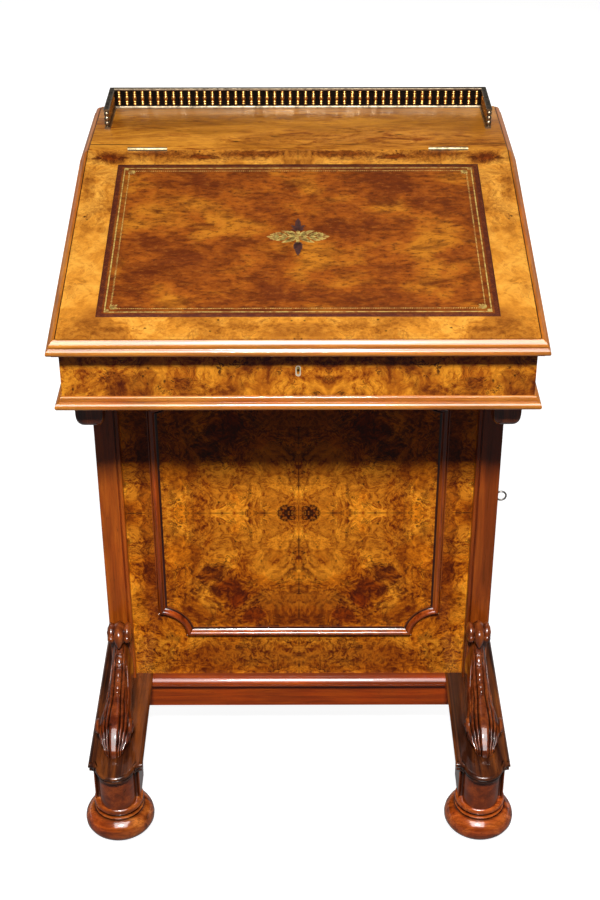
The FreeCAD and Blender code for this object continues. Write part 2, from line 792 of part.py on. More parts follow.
def inner_drawer(side):
    """A small open drawer with a turned knob."""
    inner = d.case_board / 2 + d.drawer_gap
    outer = well_x - d.drawer_gap
    low = well_floor + d.drawer_gap
    high = low + d.drawer_height
    rear = drawer_front_y + d.drawer_depth
    wall = d.drawer_wall
    shell = box((side * inner, drawer_front_y, low), (side * outer, rear, high))
    hollow = box((side * (inner + wall), drawer_front_y + d.drawer_front, low + wall),
                 (side * (outer - wall), rear - wall, high + d.cutter_spare))
    cut(sided("inner_drawer", side), shell, [hollow])
    radius, length = d.knob_radius, d.knob_length
    knob = turned(sided("inner_drawer_knob", side), [
        (0, 0),
        (radius * 0.7, 0),
        (radius * 0.45, length * 0.35),
        (radius * 0.75, length * 0.45, radius * 0.72),
        (radius * 0.6, length),
        (0, length),
    ])
    place(turn(knob, X_AXIS, 90), side * (inner + outer) / 2, drawer_front_y, (low + high) / 2)


# ---------------------------------------------------------------- lid and flat top

def edge_section(edge, inward):
    """Moulded edge of the lid and the top: quirk, ovolo, fillet and half-round nosing."""
    radius = d.edge_nosing_radius
    nosing_top = -d.edge_quirk - d.edge_ovolo - d.edge_fillet
    return [
        (edge + inward, 0),
        (edge + radius + d.edge_ovolo, 0),
        (edge + radius + d.edge_ovolo, -d.edge_quirk, d.edge_ovolo),
        (edge + radius, -d.edge_quirk - d.edge_ovolo),
        (edge + radius, nosing_top, radius),
        (edge + radius, nosing_top - radius * 2),
        (edge + radius + d.edge_step, nosing_top - radius * 2),
        (edge + radius + d.edge_step, -d.top_thickness),
        (edge + inward, -d.top_thickness),
    ]


def rear_bevel(body):
    """Cut a lid piece upright at the rear, clear of the flat top."""
    start = -d.joint_gap / 2 / slope_cos
    high, deep = d.cutter_spare, d.top_thickness * 1.3
    waste = [
        (start + high * slope_tan, high),
        (start - deep * slope_tan, -deep),
        (deep, -deep),
        (deep, high),
    ]
    pocket(draw(new_sketch(body, "YZ_Plane"), waste), through, symmetric=True)


def tilt(piece):
    """Lay a piece drawn in the lid's own plane down the slope."""
    turn(piece, X_AXIS, 1)
    bind(piece, "Placement.Rotation.Angle", d.lid_slope_angle)
    return place(piece, 0, hinge_y, d.top_height)


def lid_point(x, away, below):
    """A point beside the lid's pin, at a distance from it and below it."""
    return x, hinge_y + away, lid_pin_z - below


def door_point(z, away, below):
    """A point beside the door's pin."""
    return door_pin_x - below, door_pin_y + away, z


def hinge_seats(point, along, rows, length, leaf, gap, side):
    """Room in the wood for each hinge's barrel and for the leaf let into the edge under it."""
    seats = []
    room = d.knuckle_gap
    near, far = side * gap / 2, side * (gap / 2 + d.leaf_thickness)
    for row in rows:
        start, end = row - length / 2 - room, row + length / 2 + room
        seats.append(rod(point(start, 0, 0), d.knuckle_radius + d.barrel_room, end - start, along))
        seats.append(box(point(start, near, 0), point(end, far, leaf + room)))
    return seats


def lid_hinge_seats(side):
    return hinge_seats(lid_point, X_AXIS, lid_pin_rows, d.lid_hinge_length, d.lid_leaf, d.joint_gap, side)


def door_hinge_seats(side):
    return hinge_seats(door_point, Z_AXIS, door_pin_rows, d.door_hinge_length, d.door_leaf,
                       d.door_gap, side)


def hinge_leaves(label, point, along, rows, length, leaf, gap, side, knuckles):
    """One half of each hinge in a pair: a leaf with every other knuckle of the barrel."""
    shapes = []
    pitch = length / 5
    near, far = side * gap / 2, side * (gap / 2 + d.leaf_thickness)
    for row in rows:
        start = row - length / 2
        shapes.append(box(point(start, near, d.knuckle_radius + d.knuckle_gap),
                          point(start + length, far, leaf)))
        for number in knuckles:
            first = start + pitch * number + d.knuckle_gap / 2
            last = first + pitch - d.knuckle_gap
            shapes.append(box(point(first, near, 0), point(last, far, leaf / 2)))
            shapes.append(rod(point(first, 0, 0), d.knuckle_radius, last - first, along))
    bores = [rod(point(row - length, 0, 0), d.pin_radius + d.pin_clearance, length * 2, along)
             for row in rows]
    return cut(label, fuse(shapes), bores)


def hinges():
    """A pair of butt hinges on the lid and another on the door, with their four pins."""
    lid_sizes = (lid_point, X_AXIS, lid_pin_rows, d.lid_hinge_length, d.lid_leaf, d.joint_gap)
    door_sizes = (door_point, Z_AXIS, door_pin_rows, d.door_hinge_length, d.door_leaf, d.door_gap)
    for stem, sizes in (("lid_hinge", lid_sizes), ("door_hinge", door_sizes)):
        hinge_leaves(stem + "_fixed_leaves", *sizes, RIGHT, (0, 2, 4))
        hinge_leaves(stem + "_moving_leaves", *sizes, LEFT, (1, 3))
    pins = doc.addObject("Part::Compound", "hinge_pins")
    pins.Links = (
        [rod(lid_point(row - d.lid_hinge_length / 2, 0, 0), d.pin_radius, d.lid_hinge_length, X_AXIS)
         for row in lid_pin_rows]
        + [rod(door_point(row - d.door_hinge_length / 2, 0, 0), d.pin_radius, d.door_hinge_length)
           for row in door_pin_rows])
    keep("hinge_pins", pins)


def lid():
    """The writing slope: board, moulded edge, leather and the strike of its lock."""
    inner_x = d.top_width / 2 - d.edge_width
    leather_x = d.top_width / 2 - d.leather_side_margin
    leather_front = d.leather_front_margin - lid_length
    leather_outline = rectangle(-leather_x, leather_front, leather_x, -d.leather_rear_margin)

    body = new_body("Lid_panel")
    slab = rectangle(-inner_x, d.edge_width - lid_length, inner_x, 0)
    pad(draw(new_sketch(body, "XY_Plane"), slab), d.top_thickness, backwards=True)
    pocket(draw(new_sketch(body, "XY_Plane"), leather_outline), d.leather_thickness)
    rear_bevel(body)
    half_x, half_y = d.strike_width / 2, d.strike_depth / 2
    slot_x, slot_y = strike_slot()
    under = -d.top_thickness
    bed = box((-half_x, strike_y - half_y, under - d.cutter_spare),
              (half_x, strike_y + half_y, under + d.strike_thickness))
    recess = box((-slot_x, strike_y - slot_y, under),
                 (slot_x, strike_y + slot_y, under + d.till_bolt_throw * 1.5))
    cut("lid_board", tilt(body), [tilt(fuse([bed, recess]))] + lid_hinge_seats(LEFT))

    leather = keep("lid_leather", new_body("lid_leather"))
    pad(draw(new_sketch(leather, "XY_Plane"), leather_outline), d.leather_thickness, backwards=True)
    tilt(leather)

    moulding = edge_run("lid_moulding", d.top_width / 2, -lid_length,
                        edge_section(-d.top_width / 2, d.edge_width), (0, 0, 0))
    rear_bevel(moulding)
    tilt(moulding)

    plate = box((-half_x, strike_y - half_y, under), (half_x, strike_y + half_y, under + d.strike_thickness))
    slot = box((-slot_x, strike_y - slot_y, under - d.cutter_spare), (slot_x, strike_y + slot_y, 0))
    tilt(cut("lid_strike_plate", plate, [slot]))


def strike_slot():
    """Half sizes of the slot that the rising bolt enters; the lid's lean needs a wider one."""
    return d.till_bolt_width / 2 + d.strike_room, d.till_bolt_thickness / 2 + d.strike_room * 1.5


def flat_top():
    """The fixed board behind the lid, with the same moulded edge on three sides."""
    inner_x = d.top_width / 2 - d.edge_width
    start = hinge_y + d.joint_gap / 2
    field = box((-inner_x, start, top_under), (inner_x, back_y - d.edge_width, d.top_height))
    cut("top_board", field, lid_hinge_seats(RIGHT))
    edge_run("top_board_moulding", d.top_width / 2, back_y - start,
             edge_section(-d.top_width / 2, d.edge_width), (0, start, d.top_height))


# ---------------------------------------------------------------- gallery

def gallery():
    """Low brass gallery round three sides: a flat base, turned spindles and a thin rail."""
    rear = back_y - d.gallery_inset_back
    front = rear - d.gallery_arm
    half = d.top_width / 2 - d.gallery_inset_side
    gallery_strip("gallery_base", half, rear, front, d.gallery_base_width,
                  d.top_height, d.gallery_base_thickness)
    gallery_strip("gallery_rail", half, rear, front, d.gallery_rail_width,
                  d.top_height + d.gallery_height - d.gallery_rail_thickness, d.gallery_rail_thickness)
    gallery_spindles(half - d.gallery_rail_width / 2, rear - d.gallery_rail_width / 2, front)


def gallery_strip(label, half, rear, front, width, low, thickness):
    """A flat strip along the back and forward along both arms."""
    body = keep(label, new_body(label))
    inner = half - width
    outline = [
        (-half, front),
        (-inner, front),
        (-inner, rear - width),
        (inner, rear - width),
        (inner, front),
        (half, front),
        (half, rear),
        (-half, rear),
    ]
    pad(draw(new_sketch(body, "XY_Plane", low), outline), thickness)


def spindle_profile(low, high):
    """A turned baluster that swells to a bulb at its middle."""
    return [
        (0, low),
        (d.spindle_neck, low),
        (d.spindle_bulb, (low + high) / 2),
        (d.spindle_neck, high),
        (0, high),
    ]


def post_profile(low, high):
    """An end post of three balls on a thin stem."""
    pitch = (high - low) / 3
    balls = [(d.post_neck, low + pitch * number, d.post_ball_radius) for number in range(3)]
    return [(0, low)] + balls + [(d.post_neck, high), (0, high)]


def spindle(body, x, y, profile):
    return revolve(body, draw(new_sketch(body, "XZ_Plane", -y, x), profile))


def gallery_spindles(half, rear, front):
    """Spindles along the back and both arms, with a post at the end of each arm."""
    body = keep("gallery_spindles", new_body("gallery_spindles"))
    body.AllowCompound = True
    low = d.top_height + d.gallery_base_thickness
    high = d.top_height + d.gallery_height - d.gallery_rail_thickness
    count = int(float(half * 2) / float(d.spindle_pitch))
    across = d.spindle_pitch * (count - 1)
    first = spindle(body, -across / 2, rear, spindle_profile(low, high))
    row = body.newObject("PartDesign::LinearPattern", "Row")
    row.Originals = [first]
    row.Direction = (first.Profile[0], ["H_Axis"])
    bind(row, "Length", across)
    row.Occurrences = count
    body.Tip = row
    arm_count = int(float(d.gallery_arm) / float(d.spindle_pitch))
    for side in (LEFT, RIGHT):
        for number in range(1, arm_count):
            spindle(body, side * half, rear - d.spindle_pitch * number, spindle_profile(low, high))
        spindle(body, side * half, front + d.gallery_rail_width / 2, post_profile(low, high))


# ---------------------------------------------------------------- side door

def side_door():
    """Cupboard door in the right side, with its hinges let in and a bed for its lock."""
    slab = box((door_inner_x, door_front, door_low), (pedestal_x, door_rear, door_high))
    half = d.lock_height / 2
    bed = box((door_inner_x - d.cutter_spare, door_front - d.cutter_spare, key_z - half),
              (door_inner_x + d.lock_thickness, door_front + d.lock_depth, key_z + half))
    bore = rod((door_inner_x, key_y, key_z), d.keyhole_radius, d.panel_thickness * 2, X_AXIS)
    cut("side_door", slab, [bed, bore] + door_hinge_seats(LEFT))


def door_lock():
    """Lock case with a channel for the sliding bolt and a round room for the key's bit."""
    half, room = d.lock_height / 2, d.bolt_clearance
    case = box((door_inner_x, door_front, key_z - half),
               (door_inner_x + d.lock_thickness, door_front + d.lock_depth, key_z + half))
    channel = box((bolt_x - room, door_front - d.cutter_spare, bolt_z - room),
                  (bolt_x + d.bolt_thickness + room, door_front + d.bolt_length + room * 3,
                   bolt_z + d.bolt_height + room))
    key_room = rod((bolt_x - room, key_y, key_z), d.bit_room,
                   d.bolt_thickness + room * 2, X_AXIS)
    entry = rod((bolt_x, key_y, key_z), d.keyhole_radius, d.panel_thickness, X_AXIS)
    cut("door_lock", case, [channel, key_room, entry])


def door_lock_bolt():
    start = door_front + d.bolt_clearance
    board("door_lock_bolt", (bolt_x, start, bolt_z),
          (bolt_x + d.bolt_thickness, start + d.bolt_length, bolt_z + d.bolt_height))


def door_escutcheon():
    plate = rod((pedestal_x, key_y, key_z), d.escutcheon_radius, d.escutcheon_thickness, X_AXIS)
    bore = rod((pedestal_x - d.cutter_spare, key_y, key_z), d.key_shank + d.key_clearance,
               d.escutcheon_thickness + d.cutter_spare * 2, X_AXIS)
    cut("door_escutcheon", plate, [bore])


def door_key():
    """Key with a round shank, a ring bow and a bit that turns in the lock."""
    start = bolt_x + d.bolt_clearance / 2
    bow_x = pedestal_x + d.key_bow_reach
    shank = rod((start, key_y, key_z), d.key_shank, bow_x - d.key_bow_radius - start, X_AXIS)
    bow = doc.addObject("Part::Torus", "Bow")
    bind(bow, "Radius1", d.key_bow_radius)
    bind(bow, "Radius2", d.key_bow_wire)
    place(turn(bow, X_AXIS, 90), bow_x, key_y, key_z)
    half = d.key_shank * 0.4
    bit = box((start, key_y - half, key_z - d.key_shank - d.key_bit_height),
              (start + d.key_bit_thickness, key_y + half, key_z))
    keep("door_key", fuse([shank, bow, bit]))


# ---------------------------------------------------------------- the desk

def write_parts():
    """Check every object, then write each piece to a file that carries its name."""
    doc.recompute()
    for thing in doc.Objects:
        if "Invalid" in thing.State or "Error" in thing.State:
            raise ValueError("%s (%s) failed: %s" % (thing.Name, thing.Label, thing.State))
    for piece in parts:
        if piece.Shape.isNull() or not piece.Shape.isValid():
            raise ValueError("%s has no valid shape" % piece.Label)
    os.makedirs("parts", exist_ok=True)
    for piece in parts:
        piece.Shape.exportStep("parts/%s.step" % piece.Label)


def main():
    for side in (LEFT, RIGHT):
        sled(side)
        bun_foot(sided("bun_foot_front", side), side, front_y + d.foot_inset_front)
        bun_foot(sided("bun_foot_rear", side), side, front_y + sled_length - d.foot_inset_back)
        scroll_bracket(side)
        bearer(side)
        inner_drawer(side)
    uprights()
    panel_frames()
    pedestal_boards()
    rail_moulding()
    box_boards()
    box_escutcheon()
    box_lock()
    till_bolt()
    box_base_moulding()
    drawer_case()
    hinges()
    lid()
    flat_top()
    gallery()
    side_door()
    door_lock()
    door_lock_bolt()
    door_escutcheon()
    door_key()
    write_parts()


main()
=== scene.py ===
"""Davenport desk dressed for a plain studio: burr walnut veneer, tooled leather, turned and carved walnut, old brass.

Lengths in this file are millimetres; the mesh builder turns them into metres. +Z is up, the sitter is at -Y.
"""

import json
import math

import bmesh
import bpy
from mathutils import Matrix, Vector
from mathutils.kdtree import KDTree

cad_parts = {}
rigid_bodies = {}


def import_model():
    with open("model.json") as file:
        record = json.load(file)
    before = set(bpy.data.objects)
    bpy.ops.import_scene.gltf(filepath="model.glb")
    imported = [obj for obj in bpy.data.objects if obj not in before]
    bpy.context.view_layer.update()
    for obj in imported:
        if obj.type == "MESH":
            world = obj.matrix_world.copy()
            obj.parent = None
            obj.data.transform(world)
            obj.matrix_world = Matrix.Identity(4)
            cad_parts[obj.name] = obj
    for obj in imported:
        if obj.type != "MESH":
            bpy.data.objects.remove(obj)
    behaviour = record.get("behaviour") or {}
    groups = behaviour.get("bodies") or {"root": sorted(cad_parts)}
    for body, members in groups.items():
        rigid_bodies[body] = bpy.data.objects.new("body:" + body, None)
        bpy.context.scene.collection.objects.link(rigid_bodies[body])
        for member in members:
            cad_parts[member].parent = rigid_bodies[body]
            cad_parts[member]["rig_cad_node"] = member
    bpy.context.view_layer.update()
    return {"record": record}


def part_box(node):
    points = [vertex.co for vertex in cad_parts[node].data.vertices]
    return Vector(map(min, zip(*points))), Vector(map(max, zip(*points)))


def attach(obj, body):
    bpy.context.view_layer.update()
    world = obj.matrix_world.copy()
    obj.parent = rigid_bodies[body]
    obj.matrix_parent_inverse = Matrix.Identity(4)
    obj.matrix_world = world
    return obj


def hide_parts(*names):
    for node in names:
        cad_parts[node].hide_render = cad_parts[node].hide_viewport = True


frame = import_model()

MM = 0.001
SIDES = (("left", -1), ("right", 1))
Y_AXIS, Z_AXIS = Vector((0, 1, 0)), Vector((0, 0, 1))
at = Matrix.Translation


def sin(degrees):
    return math.sin(math.radians(degrees))


def cos(degrees):
    return math.cos(math.radians(degrees))


def turn(degrees, axis):
    return Matrix.Rotation(math.radians(degrees), 4, axis)


# ---------------------------------------------------------------- places taken from the frame

def span(node):
    """Lowest and highest corner of a CAD node in millimetres."""
    low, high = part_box(node)
    return Vector(low) / MM, Vector(high) / MM


record = frame["record"]
JOINTS = {joint["name"]: joint for joint in record["behaviour"]["joints"]}
MOUNTS = {mount["name"]: mount for mount in record["mounts"]}

slope_axis = Vector(MOUNTS["writing_surface"]["axis"])
SLOPE = math.atan2(-slope_axis.y, slope_axis.z)
HINGE_Y = JOINTS["lid_hinge"]["pos_m"][1] / MM
TOP_LOW, TOP_HIGH = span("top_board")
LID_LOW, LID_HIGH = span("lid_moulding")
TOP_X, TOP_Z = LID_HIGH.x, TOP_HIGH.z
LID_THICK = TOP_HIGH.z - TOP_LOW.z
LID_LENGTH = (HINGE_Y - LID_LOW.y) / math.cos(SLOPE)
JOINT_HALF = 0.4
LID_FRAME = at((0, HINGE_Y, TOP_Z)) @ Matrix.Rotation(SLOPE, 4, "X")
TO_LID = LID_FRAME.inverted()

HIDE_NEAR, HIDE_FAR = [(TO_LID @ Vector((0, corner.y, corner.z))).y for corner in span("lid_leather")]
HIDE_X, HIDE_Y, HIDE_MID = span("lid_leather")[1].x, (HIDE_FAR - HIDE_NEAR) / 2, (HIDE_FAR + HIDE_NEAR) / 2
HIDE_BORDER = 5.2

SLED_LOW, SLED_HIGH = span("sled_right")
SLED_MID = (SLED_LOW.x + SLED_HIGH.x) / 2
SLED_HALF = SLED_HIGH.x - SLED_MID
SLED_FRONT, SLED_BACK, SLED_TOP = SLED_LOW.y, SLED_HIGH.y, SLED_HIGH.z
BUN_LOW, BUN_HIGH = span("bun_foot_front_left")
BUN_TOP, BUN_RADIUS = BUN_HIGH.z, (BUN_HIGH.x - BUN_LOW.x) / 2


# ---------------------------------------------------------------- mesh building

def arc(x, y, radius, start, end, steps=10, rise=None):
    """Points of an arc, with its ends in degrees; rise is its radius along y where that differs."""
    angles = [start + (end - start) * i / steps for i in range(steps + 1)]
    return [(x + radius * cos(a), y + (rise or radius) * sin(a)) for a in angles]


def loft(rings, closed=False):
    """Skin a list of rings; an open run gets a cap at both ends."""
    count = len(rings[0])
    vertices = [Vector(point) for ring in rings for point in ring]
    faces = []
    for r in range(len(rings) if closed else len(rings) - 1):
        near, far = r * count, (r + 1) % len(rings) * count
        for i in range(count):
            j = (i + 1) % count
            faces.append((near + i, near + j, far + j, far + i))
    if not closed:
        faces += [tuple(range(count))[::-1], tuple(range((len(rings) - 1) * count, len(rings) * count))]
    return vertices, faces


def joined(*shapes):
    """Several shapes as one."""
    vertices, faces = [], []
    for shape_vertices, shape_faces in shapes:
        start = len(vertices)
        vertices += shape_vertices
        faces += [tuple(start + i for i in face) for face in shape_faces]
    return vertices, faces


def moved(shape, matrix):
    return [matrix @ vertex for vertex in shape[0]], shape[1]


def lathe(profile, segments=64):
    """Turn a half profile of (radius, height) about Z."""
    angles = [360 * i / segments for i in range(segments)]
    return loft([[(radius * cos(a), radius * sin(a), height) for a in angles] for radius, height in profile])


def prism(outline, low, high, axis="Z"):
    """An outline carried straight along Z or X."""
    return loft([[(a, b, height) if axis == "Z" else (height, a, b) for a, b in outline] for height in (low, high)])


def block(low, high):
    (x0, y0, z0), (x1, y1, z1) = low, high
    return prism([(x0, y0), (x1, y0), (x1, y1), (x0, y1)], z0, z1)


def mortised(shape, face_y, low, high, depth):
    """Cut a rectangular mortise, low to high in (x, z), into the flat face at face_y."""
    vertices, faces = list(shape[0]), list(shape[1])
    flat = next(face for face in faces if len(face) == 4
                and all(abs(vertices[i].y - face_y) < 0.01 for i in face))
    faces.remove(flat)
    middle = sum((vertices[i] for i in flat), Vector()) / 4
    mouth = [((high if vertices[i].x > middle.x else low)[0], (high if vertices[i].z > middle.z else low)[1])
             for i in flat]
    first = len(vertices)
    vertices += [Vector((x, y, z)) for y in (face_y, face_y - depth) for x, z in mouth]
    for i in range(4):
        j = (i + 1) % 4
        faces += [(flat[i], flat[j], first + j, first + i), (first + i, first + j, first + 4 + j, first + 4 + i)]
    faces.append(tuple(range(first + 4, first + 8)))
    return vertices, faces


def ball(centre, radii, segments=20, rings=12):
    """An ellipsoid with its own three radii."""
    angles = [180 * i / rings for i in range(rings + 1)]
    shape = lathe([(sin(a), -cos(a)) for a in angles], segments)
    return moved(shape, at(centre) @ Matrix.Diagonal((*radii, 1)))


def sweep(path, section, closed=False):
    """Carry a section of (outwards, upwards) points along a level path, with mitred corners."""
    path = [Vector(point) for point in path]
    rings = []
    for i, point in enumerate(path):
        runs = [point - path[i - 1]] if closed or i > 0 else []
        if closed or i < len(path) - 1:
            runs.append(path[(i + 1) % len(path)] - point)
        sides = [run.cross(Z_AXIS).normalized() for run in runs]
        mitre = sum(sides, Vector()).normalized()
        mitre = mitre / max(mitre.dot(sides[0]), 0.2)
        rings.append([point + mitre * out + Z_AXIS * rise for out, rise in section])
    return loft(rings, closed)


def moulded_slab(outline, profile):
    """A slab whose edge follows a profile of (inset, height); the outline runs anticlockwise."""
    count = len(outline)
    mitres = []
    for i, point in enumerate(outline):
        here = Vector(point)
        runs = (here - Vector(outline[i - 1]), Vector(outline[(i + 1) % count]) - here)
        sides = [Vector((-run.y, run.x)).normalized() for run in runs]
        mitre = (sides[0] + sides[1]).normalized()
        mitres.append((here, mitre / max(mitre.dot(sides[0]), 0.35)))
    return loft([[(*(here + mitre * inset), height) for here, mitre in mitres] for inset, height in profile])


def spread(place, sizes):
    """An eased value between key points: sizes holds (place, value) pairs in rising order."""
    for (p0, v0), (p1, v1) in zip(sizes, sizes[1:]):
        if place <= p1:
            share = max(0.0, (place - p0) / (p1 - p0))
            return v0 + (v1 - v0) * share * share * (3 - 2 * share)
    return sizes[-1][1]


def smooth_value(place, keys):
    """Catmull-Rom value through key points."""
    index = max(0, min(len(keys) - 2, sum(1 for key in keys if key[0] <= place) - 1))
    (x0, y0), (x1, y1) = keys[index], keys[index + 1]
    before = keys[index - 1] if index > 0 else (x0 * 2 - x1, y0 * 2 - y1)
    after = keys[index + 2] if index + 2 < len(keys) else (x1 * 2 - x0, y1 * 2 - y0)
    t = (place - x0) / (x1 - x0)
    m0 = (y1 - before[1]) / (x1 - before[0]) * (x1 - x0)
    m1 = (after[1] - y0) / (after[0] - x0) * (x1 - x0)
    t2, t3 = t * t, t * t * t
    return (2 * t3 - 3 * t2 + 1) * y0 + (t3 - 2 * t2 + t) * m0 + (-2 * t3 + 3 * t2) * y1 + (t3 - t2) * m1


def smoothed(mesh, sharp):
    mesh.shade_smooth()
    mesh.set_sharp_from_angle(angle=math.radians(sharp))


def mesh_of(name, shape, ease, sharp, merge):
    """Make a clean mesh in metres: doubles merged, faces outwards, sharp arrises eased."""
    mesh = bpy.data.meshes.new(name)
    mesh.from_pydata([vertex * MM for vertex in shape[0]], [], shape[1])
    work = bmesh.new()
    work.from_mesh(mesh)
    bmesh.ops.remove_doubles(work, verts=work.verts, dist=merge * MM)
    bmesh.ops.dissolve_degenerate(work, edges=work.edges, dist=merge * MM * 0.5)
    bmesh.ops.recalc_face_normals(work, faces=work.faces)
    if ease:
        edges = [edge for edge in work.edges
                 if len(edge.link_faces) == 2 and edge.calc_face_angle(0) > math.radians(50)]
        bmesh.ops.bevel(work, geom=edges, offset=ease * MM, segments=2, profile=0.5,
                        affect="EDGES", clamp_overlap=True)
    work.to_mesh(mesh)
    work.free()
    smoothed(mesh, sharp)
    return mesh


def linked(name, data):
    obj = bpy.data.objects.new(name, data)
    bpy.context.scene.collection.objects.link(obj)
    return obj


def add_piece(name, mesh, finish, node=None, body="desk"):
    """Put a finished mesh in the scene, riding on its CAD body."""
    obj = linked(name, mesh)
    mesh.materials.clear()
    mesh.materials.append(MAT[finish])
    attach(obj, body)
    if node:
        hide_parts(node)


def make(name, shape, finish, node=None, body="desk", hollow=None, ease=0.0, sharp=35, merge=0.01):
    """Build a piece; hollow gives, for a point in millimetres, how much painted shade is laid into its colour there."""
    mesh = mesh_of(name, shape, ease, sharp, merge)
    if hollow:
        layer = mesh.attributes.new("hollow", "FLOAT", "POINT")
        for vertex, item in zip(mesh.vertices, layer.data):
            item.value = hollow(vertex.co / MM)
    add_piece(name, mesh, finish, node, body)


# ---------------------------------------------------------------- nodes

def colour(text):
    """An sRGB hex value as linear RGBA."""
    channels = [int(text[i:i + 2], 16) / 255 for i in (1, 3, 5)]
    return tuple(c / 12.92 if c <= 0.04045 else ((c + 0.055) / 1.055) ** 2.4 for c in channels) + (1.0,)


class Output:
    """A node's output; arithmetic on it adds maths nodes to its tree."""

    def __init__(self, socket):
        self.socket, self.tree = socket, socket.id_data

    def __getitem__(self, key):
        return Output(self.socket.node.outputs[key])

    def __add__(self, other):
        return add(self.tree, "Math", self, other, operation="ADD")

    def __sub__(self, other):
        return add(self.tree, "Math", self, other, operation="SUBTRACT")

    def __mul__(self, other):
        return add(self.tree, "Math", self, other, operation="MULTIPLY")

    def __truediv__(self, other):
        return add(self.tree, "Math", self, other, operation="DIVIDE")

    def __abs__(self):
        return add(self.tree, "Math", self, operation="ABSOLUTE")


def add(tree, kind, *values, stops=(), **settings):
    """Add a node and give its first output in use.

    The values go to its inputs in use, in order. Settings with a capital are inputs by name, with _ for a space, and
    the others are the node's own properties. A list links several outputs to one input. Stops are a ramp's own
    (place, colour or grey level) pairs.
    """
    node = tree.nodes.new(kind if "Node" in kind else "ShaderNode" + kind)
    for key, value in settings.items():
        if key[0].islower():
            setattr(node, key, value)
    inputs = list(zip([socket for socket in node.inputs if socket.enabled], values))
    inputs += [(node.inputs[key.replace("_", " ")], value) for key, value in settings.items() if key[0].isupper()]
    for socket, value in inputs:
        for item in value if isinstance(value, list) else [value]:
            if isinstance(item, Output):
                tree.links.new(item.socket, socket)
            else:
                socket.default_value = colour(item) if isinstance(item, str) else item
    while stops and len(node.color_ramp.elements) < len(stops):
        node.color_ramp.elements.new(0.5)
    for element, (place, shade) in zip(node.color_ramp.elements if stops else (), stops):
        element.position = place
        element.color = colour(shade) if isinstance(shade, str) else (shade, shade, shade, 1)
    return next((Output(socket) for socket in node.outputs if socket.enabled), None)


def new_material(name):
    """A material, its empty tree and the place on the object that its patterns follow."""
    material = bpy.data.materials.new(name)
    material.use_nodes = True
    material.node_tree.nodes.clear()
    return material, material.node_tree, add(material.node_tree, "TexCoord")["Object"]


def per_mm(size):
    """Texture scale at which one cell of a pattern is this many millimetres wide."""
    return 1000.0 / size


def surface(shade, roughness, height=None, bump_mm=0.1, strength=0.6, **inputs):
    """The end of each material: a principled shader, with a bump where a height is given."""
    if height:
        inputs["Normal"] = add(shade.tree, "Bump", Height=height, Distance=bump_mm * MM, Strength=strength)
    add(shade.tree, "OutputMaterial", add(shade.tree, "BsdfPrincipled", Base_Color=shade, Roughness=roughness,
                                          **inputs))


def polished(shade, roughness, height, coat):
    """French polish: a thin clear gloss over the wood, with the grain just felt under it."""
    surface(shade, roughness, height, IOR=1.5, Specular_IOR_Level=0.12, Coat_Weight=coat, Coat_Roughness=0.1,
            Coat_IOR=1.5)


# ---------------------------------------------------------------- materials

STAIN = "#a87340"


